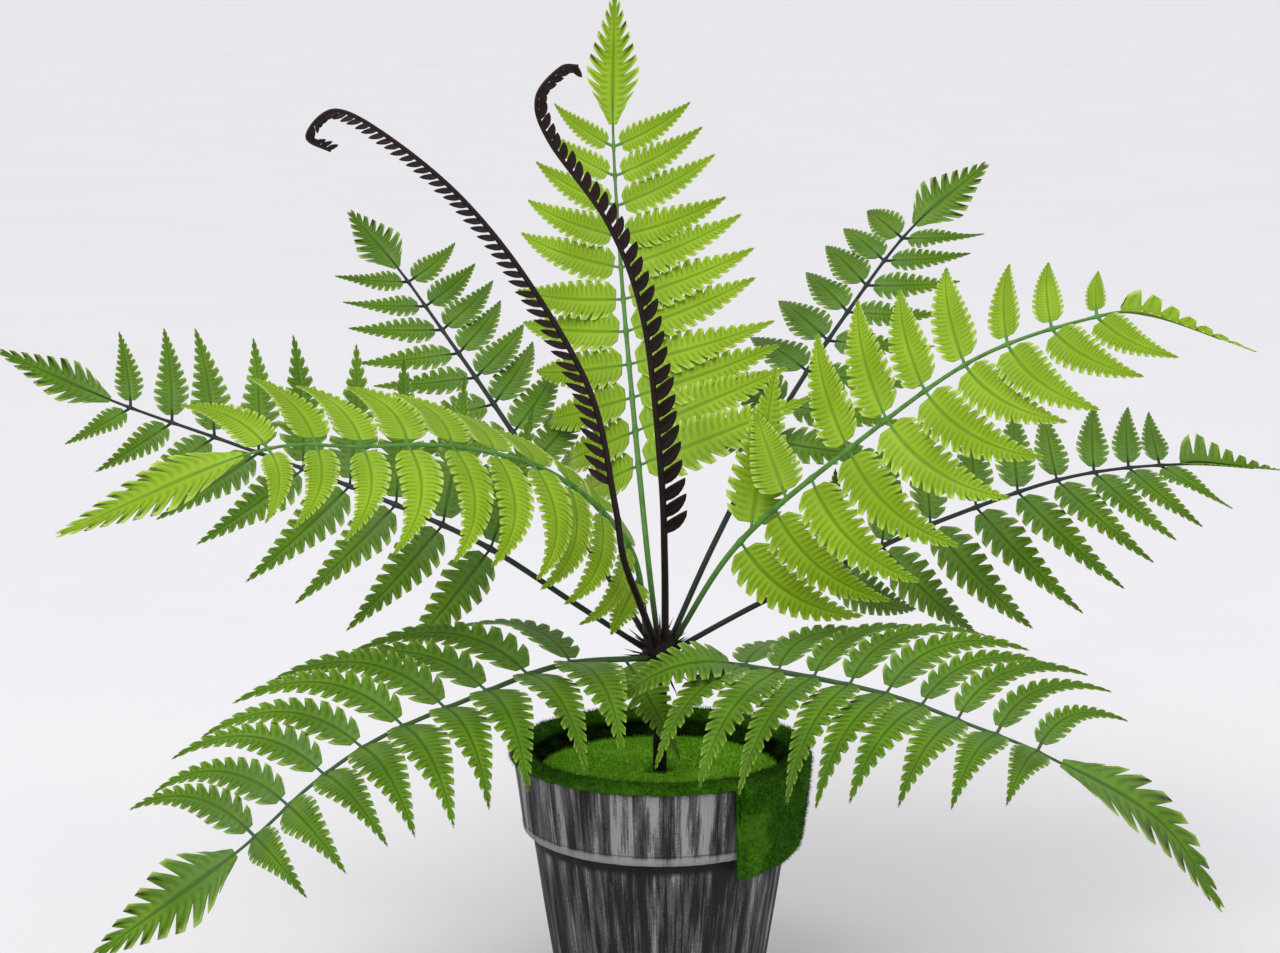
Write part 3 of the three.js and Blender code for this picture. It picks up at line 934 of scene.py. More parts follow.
@dataclass
class Midrib:
    """A smooth line through a few points, which can be asked for places along it.

    Each span between two points is cut into steps, and a heading is taken between the places
    that are near to either side, in millimetres.
    """

    path: Sequence[Triple]
    steps: int = 24
    near: float = 2
    points: Places = field(init=False)
    reach: Places = field(init=False)
    length: float = field(init=False)

    def __post_init__(self) -> None:
        """Runs the curve through the points."""
        p = np.array(self.path, float)
        p = np.vstack([2 * p[0] - p[1], p, 2 * p[-1] - p[-2]])
        t = (np.arange(self.steps) / self.steps)[:, None]
        spans = [self._span(*p[i : i + 4], t) for i in range(len(p) - 3)]
        self.points = np.vstack([*spans, p[-2]])
        gaps = np.linalg.norm(np.diff(self.points, axis=0), axis=1)
        self.reach = np.concatenate([[0], np.cumsum(gaps)])
        self.length = float(self.reach[-1])

    @staticmethod
    def _span(a: Places, b: Places, c: Places, d: Places, t: Places) -> Places:
        """Points of the curve between b and c."""
        bow = (2 * a - 5 * b + 4 * c - d) * t**2 + (3 * b - a - 3 * c + d) * t**3
        return 0.5 * (2 * b + (c - a) * t + bow)

    def at(self, distance: Places | float) -> Places:
        """Places at distances along the line."""
        s = np.clip(distance, 0, self.length)
        return np.stack([np.interp(s, self.reach, self.points[:, i]) for i in range(3)], -1)

    def heading(self, distance: Places | float) -> Places:
        """Unit headings at distances along the line."""
        s = np.clip(distance, self.near, self.length - self.near)
        return unit(self.at(s + self.near) - self.at(s - self.near))


def between(ends: Pair, u: Places | float) -> Places | float:
    """Values at shares of the way between two."""
    return ends[0] + (ends[1] - ends[0]) * u


def looking(turn: float, tilt: float) -> Places:
    """A direction that starts at the front.

    Args:
        turn: how far it is turned to the right, in degrees.
        tilt: how far it is tilted up, in degrees.

    Returns:
        A unit vector.
    """
    turn, tilt = math.radians(turn), math.radians(tilt)
    flat = math.cos(tilt)
    return np.array([math.sin(turn) * flat, -math.cos(turn) * flat, math.sin(tilt)])


def through(three: Triple, u: float) -> float:
    """Value at a share of the way along the parabola through three evenly spread values."""
    a, b, c = three
    return a * (1 - u) * (1 - 2 * u) + 4 * b * u * (1 - u) + c * u * (2 * u - 1)


@dataclass(frozen=True)
class Row:
    """The leaflets on one side: their length and their angle from the midrib along the blade.

    Their hook curves them forward in the blade, their arch lifts their middles out of it, and
    their bend, at the blade's foot and tip, drops their ends. The first pairs may be skipped.
    """

    long: Triple
    sweep: Triple
    hook: float = 0.2
    arch: float = 0.0
    bend: Pair | None = None
    broad: float = 1.0
    stalk: float = 4.0
    skip: int = 0


@dataclass(frozen=True)
class Stray:
    """A leaflet out of its row: where it stands on the midrib, and how it reaches from there."""

    at: float
    reach: Triple
    face: Triple
    arch: float = 0.3
    broad: float = 1.0
    stalk: float = 4.0


@dataclass(frozen=True)
class Breed:
    """What the fronds of one colour share; the widths are shares of a leaf's length."""

    slot: Slot
    leaf: LeafDie
    end_leaf: LeafDie
    width: float
    end_width: float


@dataclass
class Frond:
    """A wire-cored stalk with pairs of toothed leaflets and a broad leaf at its end.

    The end leaf takes the midrib's last stretch, of the length end. The pairs stand between it
    and the bare foot of the stalk, closer towards the end as they crowd. The blade's face looks
    the way that turn and tilt give at its foot and tip. The leaflets are lifted out of its
    plane by the angle lift, and their ends drop by the share bend.
    """

    name: str
    breed: Breed
    end: float
    bare: float
    pairs: int
    crowd: float
    path: Sequence[Triple]
    turn: Pair
    tilt: Pair
    lift: Pair
    bend: Pair
    left: Row
    right: Row
    strays: Sequence[Stray] = ()
    end_leaf: LeafDie | None = None
    pale_stalk: bool = False
    stem_radius: float = 1.5
    tip_radius: float = 0.7
    leaf_thick: float = 0.55
    end_broad: float = 1.0
    end_keel: float = 1.0
    end_turn: float | None = None
    end_tilt: float | None = None
    end_start: float = 0.02
    end_wave: float = 0.4
    last_gap: float = 10
    curl_back: float = 0.25
    uneven_sweep: float = 4
    uneven_long: Pair = (0.95, 1.04)
    uneven_roll: Pair = (0.14, 0.4)
    uneven_wave: float = 0.8
    knot: float = 0.35
    knot_reach: float = 2.2
    stalk_step: float = 1.6
    end_rib_share: float = 0.75
    end_rib_thinned: float = 0.75
    end_rib_under: float = 0.5
    leaf_stalk_radius: float = 0.8
    leaf_rib_share: float = 0.85
    leaf_rib_radii: Pair = (0.62, 0.17)
    leaf_rib_under: float = 0.35
    rib: Midrib = field(init=False)
    chance: random.Random = field(init=False)

    def __post_init__(self) -> None:
        """Runs the midrib and starts the frond's own run of chance."""
        self.rib = Midrib(self.path)
        self.chance = random.Random(self.name)

    def facing(self, u: float) -> Places:
        """The way the blade's face looks at a share of the blade's length."""
        return looking(between(self.turn, u), between(self.tilt, u))

    def stations(self) -> list[tuple[float, float]]:
        """Where the pairs stand.

        Returns:
            Distance along the midrib, and share of the blade's length, of each pair.
        """
        tip_base = self.rib.length - self.end
        room = tip_base - self.last_gap - self.bare
        made = []
        for i in range(self.pairs):
            k = i / (self.pairs - 1)
            s = self.bare + room * (k + self.crowd * k * (1 - k))
            made.append((s, (s - self.bare) / (tip_base - self.bare)))
        return made

    def leaflet_line(self, s: float, u: float, hand: int) -> Line:
        """The line of one leaflet, a little uneven.

        Args:
            s: distance along the midrib where it stands.
            u: share of the blade's length there.
            hand: -1 on the left, 1 on the right.

        Returns:
            The line from its base to its tip.
        """
        row = self.left if hand < 0 else self.right
        heading = self.rib.heading(s)
        up = square_to(self.facing(u), heading)
        right = np.cross(heading, up)
        lift = math.radians(between(self.lift, u))
        sway = self.chance.uniform(-self.uneven_sweep, self.uneven_sweep)
        sweep = math.radians(through(row.sweep, u) + sway)
        long = through(row.long, u) * self.chance.uniform(*self.uneven_long)
        bend = between(row.bend or self.bend, u)
        out = right * hand * math.cos(lift) + up * math.sin(lift)
        way = unit(heading * math.cos(sweep) + out * math.sin(sweep))
        face = square_to(up, way)
        ahead = square_to(heading, way)
        base = self.rib.at(s)

        def centre(t: Places) -> Places:
            """Places along the leaflet, which curves forward and curls back towards its tip."""
            t = np.asarray(t)[..., None]
            bow = face * row.arch - ahead * row.hook
            curl = way * (t - self.curl_back * bend * t**3) - face * bend * t**2
            return base + (curl + bow * (t - t**2)) * long

        return Line(centre, face, long)

    def stray_line(self, stray: Stray) -> Line:
        """The line of a leaflet that is out of its row.

        Args:
            stray: where it stands and how it reaches.

        Returns:
            The line from its base to its tip.
        """
        reach = np.array(stray.reach)
        long = float(np.linalg.norm(reach))
        face = square_to(np.array(stray.face), reach / long)
        base = self.rib.at(stray.at)

        def centre(t: Places) -> Places:
            """Places along the leaflet, which arches from its base to its tip."""
            t = np.asarray(t)[..., None]
            return base + reach * t + face * long * stray.arch * (t - t**2)

        return Line(centre, face, long)

    def end_line(self) -> Line:
        """The line of the leaf at the end.

        Returns:
            The midrib's last stretch, which runs straight on past its tip.
        """
        tip_base = self.rib.length - self.end

        def centre(t: Places) -> Places:
            """Places along the midrib's last stretch."""
            t = np.asarray(t)
            over = np.clip(t - 1, 0, None)[..., None] * self.end
            last = self.rib.heading(self.rib.length)
            return self.rib.at(tip_base + self.end * np.clip(t, 0, 1)) + over * last

        return Line(centre, self.end_facing(), self.end)

    def end_facing(self) -> Places:
        """The way the face of the end leaf looks.

        Returns:
            A unit vector: the blade's at its tip, unless the frond has its own angles for it.
        """
        turn = self.turn[1] if self.end_turn is None else self.end_turn
        tilt = self.tilt[1] if self.end_tilt is None else self.end_tilt
        return looking(turn, tilt)

    def build(
        self, dies: dict[str, bpy.types.Mesh], leaf: bpy.types.Material, stalk: bpy.types.Material
    ) -> None:
        """Builds the frond's stalk and leaves and puts them in the frame.

        Args:
            dies: the flat leaves by name.
            leaf: finish of the leaves.
            stalk: finish of the stalks.
        """
        lines = [
            (self.leaflet_line(s, u, hand), row)
            for i, (s, u) in enumerate(self.stations())
            for hand, row in ((-1, self.left), (1, self.right))
            if i >= row.skip
        ]
        lines += [(self.stray_line(stray), stray) for stray in self.strays]
        leaves = []
        strands = [self._main_strand()]
        for line, kind in lines:
            half = line.long * self.breed.width / 2 * kind.broad
            roll = tuple(self.chance.uniform(-most, most) for most in self.uneven_roll)
            start = kind.stalk / line.long
            wave = self.chance.uniform(-self.uneven_wave, self.uneven_wave)
            leaves.append(line.press(dies[self.breed.leaf.name], half, start, roll, wave))
            strands.append(self._leaf_stalk(line, kind.stalk))
        line = self.end_line()
        half = self.end * self.breed.end_width / 2 * self.end_broad
        end_die = dies[(self.end_leaf or self.breed.end_leaf).name]
        leaves.append(
            line.press(end_die, half, self.end_start, (0, 0), self.end_wave, self.end_keel)
        )
        blades = joined(leaves, self.name + "_leaflets")
        applied(blades, "SOLIDIFY", thickness=self.leaf_thick * MM, offset=0.0)
        rounded_off(blades, angle=50)
        place_in_frame(blades, leaf, self.breed.slot, self.name + "_blade")
        stem = rods(self.name + "_stalk", strands)
        place_in_frame(stem, stalk, Slot.STEM, self.name + "_stem")

    def _main_strand(self) -> tuple[Places, Places]:
        """The stalk from the crown on, swelling at each pair, and the end leaf's rib.

        Returns:
            The points that it follows, and its radius at each of them.
        """
        tip_base = self.rib.length - self.end
        rib_long = self.end * self.end_rib_share
        s = np.arange(0, tip_base + rib_long, self.stalk_step)
        share = np.clip((s - self.bare) / (tip_base - self.bare), 0, 1)
        radii = self.stem_radius + (self.tip_radius - self.stem_radius) * share
        for station, _ in self.stations():
            radii = radii + self.knot * np.exp(-(((s - station) / self.knot_reach) ** 2))
        end = np.clip((s - tip_base) / rib_long, 0, 1)
        radii = radii * (1 - self.end_rib_thinned * end)
        under = self.end_facing() * self.end_rib_under
        return self.rib.at(s) - under * end[:, None], radii

    def _leaf_stalk(self, line: Line, stalk: float) -> tuple[Places, Places]:
        """A leaflet's own stalk, which runs on under the leaf as its rib.

        Args:
            line: the leaflet's line.
            stalk: the bare stalk's length in millimetres.

        Returns:
            The points that it follows, and its radius at each of them.
        """
        t = np.linspace(0, self.leaf_rib_share, 12)
        place, _, _, up = line.frame_at(t)
        own = stalk / line.long
        under = np.clip((t - own) / 0.1, 0, 1)[:, None]
        bare = t < own * 1.3
        radii = np.where(bare, self.leaf_stalk_radius, between(self.leaf_rib_radii, t))
        return place - up * under * self.leaf_rib_under, radii


# ---- crosiers -------------------------------------------------------------------------------


@dataclass
class Crosier:
    """A curled brown stalk with a comb of small leaflets down one side.

    The comb starts at a distance along the stalk, and its teeth crowd towards the tip.
    """

    name: str
    hand: int
    comb: float
    teeth: int
    path: Sequence[Triple]
    radii: Pair = (1.9, 0.9)
    long: Pair = (15.0, 6.0)
    half: Pair = (3.2, 1.5)
    thick: float = 0.9
    crowd: float = 0.35
    last_gap: float = 3
    rise: float = 0.7
    out: float = 0.84
    bow: float = 0.12

    def build(self, die: bpy.types.Mesh, finish: bpy.types.Material) -> None:
        """Builds the crosier and puts it in the frame.

        Args:
            die: the flat leaflet.
            finish: its finish.
        """
        rib = Midrib(self.path)
        chance = random.Random(self.name)
        s = np.arange(0, rib.length, 1.5)
        radii = self.radii[0] + (self.radii[1] - self.radii[0]) * s / rib.length
        stalk = rods(self.name + "_rod", [(rib.at(s), radii)])
        leaves = []
        for i in range(self.teeth):
            k = i / (self.teeth - 1)
            u = (1 + self.crowd) * k - self.crowd * k * k
            place = self.comb + (rib.length - self.last_gap - self.comb) * u
            leaves.append(self._leaflet(rib, place, u, die, chance))
        comb = joined(leaves, self.name + "_comb")
        applied(comb, "SOLIDIFY", thickness=self.thick * MM, offset=0.0)
        whole = rounded_off(joined([stalk, comb], self.name + "_curl"), angle=50)
        place_in_frame(whole, finish, Slot.BROWN, self.name)

    def _leaflet(
        self, rib: Midrib, s: float, u: float, die: bpy.types.Mesh, chance: random.Random
    ) -> bpy.types.Object:
        """One leaflet of the comb.

        Args:
            rib: the stalk's line.
            s: distance along it where the leaflet stands.
            u: share of the comb's length there.
            die: the flat leaflet.
            chance: what makes the leaflets uneven.

        Returns:
            The leaflet, still without thickness.
        """
        heading = rib.heading(s)
        up = square_to(np.array([0, -1.0, 0.15]), heading)
        right = np.cross(heading, up)
        rise = self.rise + chance.uniform(-0.06, 0.06)
        out = right * self.hand * self.out
        way = unit(out + heading * rise + up * chance.uniform(-0.1, 0.2))
        face = square_to(up, way)
        long = between(self.long, u) * chance.uniform(0.94, 1.06)
        base = rib.at(s)

        def centre(t: Places) -> Places:
            """Places along the leaflet, which bends forward to its tip."""
            t = np.asarray(t)[..., None]
            return base + way * long * t + heading * long * self.bow * t**2

        return Line(centre, face, long).press(die, between(self.half, u), 0.0, (0.2, 0.5), 0)


# ---- trunk and crown ------------------------------------------------------------------------


@dataclass
class Crown:
    """The bristled socket that all stalks are set in, and the trunk that carries it."""

    trunk_radius: float = 3.5
    trunk_foot: float = 40
    foot: float = 168
    top: float = 192
    radius: float = 9
    neck: float = 5
    shoulder: float = 2.5
    ripple: float = 0.08
    tufts: int = 150
    tuft_long: float = 11
    tuft_radii: Pair = (0.75, 0.08)
    tuft_tilt: Pair = (-45, 65)
    tuft_sway: float = 12
    tuft_size: Pair = (0.7, 1.25)

    def build(self, finish: bpy.types.Material) -> None:
        """Builds the trunk and the crown.

        Args:
            finish: the rough brown finish of both.
        """
        heights = np.linspace(self.trunk_foot, self.foot + 8, 60)
        swell = np.array([noise.noise(Vector((0, 0, z * 0.25))) for z in heights])
        strand = (upright(heights), self.trunk_radius * (1 + self.ripple * swell))
        trunk = rods("trunk_bark", [strand], 12)
        place_in_frame(trunk, finish, Slot.BROWN, "trunk")
        levels = np.array([self.foot, self.foot + 6, self.top - 4, self.top])
        radii = np.array([self.neck, self.radius, self.radius, self.radius - self.shoulder])
        core = rods("crown_core", [(upright(levels), radii)], 16)
        whole = rounded_off(joined([core, self._bristles()], "crown_tuft"), angle=40)
        place_in_frame(whole, finish, Slot.BROWN, "crown")

    def _bristles(self) -> bpy.types.Object:
        """The bristles, which hang at the crown's foot and stand up at its top."""
        chance = random.Random("crown")
        spike = spiked("bristle", 4, self.tuft_radii, self.tuft_long, 0.0)
        frames = []
        for i in range(self.tufts):
            turn = 2 * math.pi * chance.random()
            high = chance.random()
            z = self.foot + 4 + (self.top - self.foot - 6) * high
            sway = chance.uniform(-self.tuft_sway, self.tuft_sway)
            tilt = math.radians(between(self.tuft_tilt, high) + sway)
            out = np.array([math.cos(turn), math.sin(turn), 0])
            way = unit(out * math.cos(tilt) + np.array([0, 0, math.sin(tilt)]))
            root = out * self.radius * 0.7 * (1 - 0.4 * max(high - 0.8, 0) * 5)
            size = chance.uniform(*self.tuft_size)
            frames.append(stood(root + np.array([0, 0, z]), way, turn, size))
        return sown("crown_bristles", spike, np.array(frames))


# ---- pot and moss ---------------------------------------------------------------------------


@dataclass
class Pot:
    """A tapered pot of moulded plastic with a rim band and raised wood grain."""

    height: float = 130
    rim_radius: float = 73.5
    band_height: float = 38
    band_foot_radius: float = 68.5
    body_top_radius: float = 64.5
    body_foot_radius: float = 50
    wall: float = 5
    floor: float = 6
    segments: int = 256
    relief: float = 0.55
    foot_round: float = 1.2
    # Share, scale round the pot and scale up it of each layer of grain.
    layers: Sequence[Triple] = ((0.7, 14, 0.012), (0.5, 42, 0.02))

    @property
    def band_foot(self) -> float:
        """Height of the band's lower edge."""
        return self.height - self.band_height

    def outside(self, z: float) -> float:
        """The outside's size.

        Args:
            z: height.

        Returns:
            Radius of the outside there.
        """
        if z < self.band_foot:
            return between((self.body_foot_radius, self.body_top_radius), z / self.band_foot)
        up = (z - self.band_foot) / self.band_height
        return between((self.band_foot_radius, self.rim_radius), up)

    def inside(self, z: float) -> float:
        """The inside's size.

        Args:
            z: height.

        Returns:
            Radius of the inside there.
        """
        if z < self.band_foot:
            return self.outside(z) - self.wall
        up = (z - self.band_foot) / self.band_height
        return between((self.body_top_radius, self.rim_radius), up) - self.wall

    def profile(self) -> list[Pair]:
        """The pot's outline, from the foot up, over the rim and down inside.

        Returns:
            Radius and height of each ring.
        """
        foot = self.band_foot
        edge = self.foot_round
        rings = [(self.body_foot_radius - edge, 0.0), (self.body_foot_radius, edge)]
        rings += [(self.outside(z), z) for z in np.linspace(5, foot - 2, 22)]
        rings += [(self.outside(foot - 0.5), foot - 0.5), (self.body_top_radius + 0.4, foot)]
        rings += [(self.band_foot_radius - 1, foot), (self.band_foot_radius, foot + 1)]
        rings += [(self.band_foot_radius + 0.6, foot + 2.2), (self.outside(foot + 4), foot + 4)]
        rings += [(self.outside(z), z) for z in np.linspace(foot + 6, self.height - 1.5, 9)]
        rings += [(self.rim_radius - 1, self.height)]
        rings += [(self.inside(self.height) + 1, self.height)]
        rings += [(self.inside(z), z) for z in (self.height - 1.5, foot, 50, self.floor)]
        return rings

    def build(self, finish: bpy.types.Material) -> None:
        """Builds the pot ring by ring and raises its grain.

        Args:
            finish: the wood-look finish.
        """
        pot = turned("pot_wood_look", self.profile(), self.segments, "NGON")
        places = places_of(pot.data)
        moved_to(pot.data, np.array([self._grained(p / MM) for p in places]) * MM)
        place_in_frame(rounded_off(pot, angle=35), finish, Slot.POT, "pot")

    def _grained(self, p: Places) -> Places:
        """The place where the wood grain moves a place on the pot's outside.

        Args:
            p: a place in millimetres.

        Returns:
            The place, moved out or in. A place on the foot, the rim or the inside stays.
        """
        r = math.hypot(p[0], p[1])
        if p[2] < 1 or p[2] > self.height - 1 or r < self.outside(p[2]) - 1.5:
            return p
        jump = BAND_JUMP if p[2] > self.band_foot else 0.0
        way = Vector((p[0] / r, p[1] / r, 0))
        level = sum(
            share * noise.noise(way * around + Vector((0, 0, p[2] * up + jump)))
            for share, around, up in self.layers
        )
        k = 1 + self.relief * level / r
        return np.array([p[0] * k, p[1] * k, p[2]])


@dataclass
class Moss:
    """Flocked moss: a sunk round, and a collar over the rim with a flap at the front right."""

    pot: Pot
    # Heights, radii and thicknesses; the flap's middle and spread are angles in degrees.
    disc_low: float = 114.3
    disc_top: float = 121.5
    disc_hole: float = 7.5
    lip_top: float = 134
    lip_foot: float = 129.4
    lip_thick: float = 2.7
    flap_foot: float = 82.5
    flap_middle: float = -32
    flap_spread: float = 27
    flap_slope: float = 1.2
    lip_reach: float = 65.2
    pile: float = 2.3
    fibre_radius: float = 0.16
    fibre_sunk: float = 0.2
    fibres_per_cm2: float = 110
    gap: float = 3.2
    collar_steps: int = 256
    section_steps: int = 44

    def build(self, finish: bpy.types.Material, lit: bpy.types.Material) -> None:
        """Builds both pieces of moss and their pile.

        Args:
            finish: the flocked finish of the collar.
            lit: the round's copy of the finish, whose colours are painted lighter, as painted
                light against the shade of the fronds over it.
        """
        fibre = spiked("fibre", 3, (self.fibre_radius, 0), self.pile, self.fibre_sunk)
        for base, node, look in (
            (self._disc(), "moss_disc", lit), (self._collar(), "moss_collar", finish)
        ):
            pile = self._sow(base, fibre, node)
            whole = joined([base, pile], node + "_flock")
            bpy.ops.object.shade_smooth()
            place_in_frame(whole, look, Slot.MOSS, node)
        bpy.data.meshes.remove(fibre)

    def _disc(self) -> bpy.types.Object:
        """The sunk round of moss with a hole for the trunk, gently uneven."""
        edge = self.pot.inside(self.disc_low) - self.gap
        rings = [(self.disc_hole, self.disc_low), (self.disc_hole, self.disc_top - 2)]
        rings += [(self.disc_hole + 1.5, self.disc_top)]
        rings += [(r, self.disc_top) for r in np.linspace(self.disc_hole + 5, edge - 3, 14)]
        rings += [(edge, self.disc_top - 1.5), (edge, self.disc_low)]
        piece = turned("moss_round", rings, 96, "NOTHING")
        with editing("DESELECT"):
            bpy.ops.mesh.select_non_manifold()
            bpy.ops.mesh.bridge_edge_loops()
        places = places_of(piece.data) / MM
        for p in places:
            if p[2] > self.disc_top - 0.5:
                way = Vector((p[0], p[1], 0))
                p[2] += 0.9 * noise.noise(way * 0.05) + 0.4 * noise.noise(way * 0.2)
        moved_to(piece.data, places * MM)
        return rounded_off(piece, angle=60)

    def _foot_at(self, angle: float) -> float:
        """Height of the collar's lower edge, which hangs low where the flap is.

        Args:
            angle: where on the pot, in degrees from +X.

        Returns:
            The height.
        """
        aside = (angle - self.flap_middle + 180) % 360 - 180
        soft = min(max((self.flap_spread + 1.2 - abs(aside)) / 2.4, 0), 1)
        soft = soft * soft * (3 - 2 * soft)
        turn = math.radians(angle)
        uneven = 1.2 * noise.noise(Vector((math.cos(turn) * 4, math.sin(turn) * 4, 0)))
        slope = self.flap_slope * (aside / self.flap_spread + 1)
        hang = self.flap_foot + slope + 2 * uneven
        return between((self.lip_foot + 0.3 * uneven, hang), soft)

    def _section(self, angle: float) -> Places:
        """The collar's closed section, from the well up over the rim and back.

        Args:
            angle: where on the pot, in degrees from +X.

        Returns:
            Radius and height of its points.
        """
        rim, out, low = self.pot.height, self.pot.rim_radius, self.disc_low
        well = self.pot.inside(low) - 0.6
        inside = self.pot.inside(rim) - 0.3
        lip = self.lip_reach + 0.7 * noise.noise(Vector((angle * 0.08, 7, 0)))
        foot = self._foot_at(angle)
        swell = 1 + 0.25 * noise.noise(Vector((angle * 0.05, 3, 0)))
        drop = self.lip_top - 2 - foot
        thick = between((0.8, self.lip_thick), min(drop / 20, 1)) * swell
        points = [
            (well - 1.5, low), (well - 1.5, low + 8), (lip + 0.6, low + 13), (lip, low + 16),
            (lip + 1.5, self.lip_top - 0.8), (inside + 0.5, self.lip_top + 0.5),
            (out - 1.5, self.lip_top + 0.2),
        ]
        for down, share in ((0, 0.8), (0.4, 1.0), (0.75, 1.1), (0.93, 0.9)):
            z = self.lip_top - 2 - down * drop
            points.append((self._clear(z) + thick * share, z))
        edge = self._clear(foot)
        points += [
            (edge + 0.4 * thick, foot), (edge, foot + 0.3), (out + 0.2, rim + 0.4),
            (inside, rim + 0.4), (inside - 0.4, rim - 3), (well, low), (well - 1.5, low),
        ]
        return np.array(points, float)

    def _clear(self, z: float) -> float:
        """Radius just outside the pot at a height, hanging straight below the band's foot."""
        return max(self.pot.outside(min(z, self.pot.height)), self.pot.band_foot_radius) + 0.6

    def _collar(self) -> bpy.types.Object:
        """The collar and its flap, a ring whose section hangs lower where the flap is."""
        around, across = self.collar_steps, self.section_steps
        deselect()
        bpy.ops.mesh.primitive_torus_add(
            major_segments=around, minor_segments=across, major_radius=0.07, minor_radius=0.004
        )
        piece = fresh("moss_ring")
        places = places_of(piece.data)
        for i in range(around):
            angle = 360 * i / around
            section = self._section(angle)
            gaps = np.linalg.norm(np.diff(section, axis=0), axis=1)
            reach = np.concatenate([[0], np.cumsum(gaps)])
            s = reach[-1] * np.arange(across) / across
            r = np.interp(s, reach, section[:, 0])
            z = np.interp(s, reach, section[:, 1])
            a = math.radians(angle)
            rows = slice(i * across, (i + 1) * across)
            places[rows] = np.c_[r * math.cos(a), r * math.sin(a), z] * MM
        moved_to(piece.data, places)
        return rounded_off(piece, angle=70)

    def _sow(self, base: bpy.types.Object, fibre: bpy.types.Mesh, name: str) -> bpy.types.Object:
        """Sows the pile over a piece of moss.

        Args:
            base: the piece.
            fibre: one fibre, in millimetres.
            name: the piece's node, by which the pile is named and its chance is seeded.

        Returns:
            The pile.
        """
        chance = np.random.default_rng(len(name))
        mesh = base.data
        mesh.calc_loop_triangles()
        corners = np.empty(len(mesh.loop_triangles) * 3, int)
        mesh.loop_triangles.foreach_get("vertices", corners)
        a, b, c = (places_of(mesh) / MM)[corners.reshape(-1, 3)].transpose(1, 0, 2)
        cross = np.cross(b - a, c - a)
        area = np.linalg.norm(cross, axis=1) / 2
        count = int(area.sum() / 100 * self.fibres_per_cm2)
        which = chance.choice(len(area), count, p=area / area.sum())
        u, v = chance.random((2, count, 1))
        u, v = np.where(u + v > 1, 1 - u, u), np.where(u + v > 1, 1 - v, v)
        roots = a[which] + u * (b - a)[which] + v * (c - a)[which]
        ways = unit(unit(cross[which]) + chance.normal(0, 0.5, (count, 3)))
        sizes = chance.uniform(0.7, 1.15, count)
        turns = chance.uniform(0, 6.28, count)
        frames = [stood(*each) for each in zip(roots, ways, turns, sizes)]
        return sown(name + "_pile", fibre, np.array(frames))


# ---- the fronds and crosiers of this plant --------------------------------------------------

# Teeth, widest place, width at the foot, full, taper, depth and lean of each flat leaf.
LIME_LEAF = LeafDie("lime_leaf_die", 27, 0.14, 0.80, 1.6, 1.20, 0.43, 0.8)
DARK_LEAF = LeafDie("dark_leaf_die", 24, 0.18, 0.72, 1.2, 1.25, 0.56, 0.9)
LIME_END = LeafDie("lime_end_die", 23, 0.32, 0.34, 1.2, 1.2, 0.58, 2.0)
DARK_END = LeafDie("dark_end_die", 19, 0.30, 0.36, 1.1, 1.15, 0.62, 1.7)
CROSIER_LEAF = LeafDie("crosier_leaf_die", 5, 0.4, 0.55, 1.6, 0.7, 0.0, 0.0, keel=0.3)
# End leaves that are seen as combs of long fingers.
LIME_COMB = LeafDie("lime_comb_die", 16, 0.12, 0.60, 0.80, 1.50, 0.84, 0.3)
DARK_COMB = LeafDie("dark_comb_die", 16, 0.15, 0.60, 0.90, 1.30, 0.86, 0.3)
DIES = (LIME_LEAF, DARK_LEAF, LIME_END, DARK_END, LIME_COMB, DARK_COMB, CROSIER_LEAF)

# Width and end width.
LIME = Breed(Slot.LIME, LIME_LEAF, LIME_END, 0.37, 0.40)
DARK = Breed(Slot.DARK, DARK_LEAF, DARK_END, 0.33, 0.40)

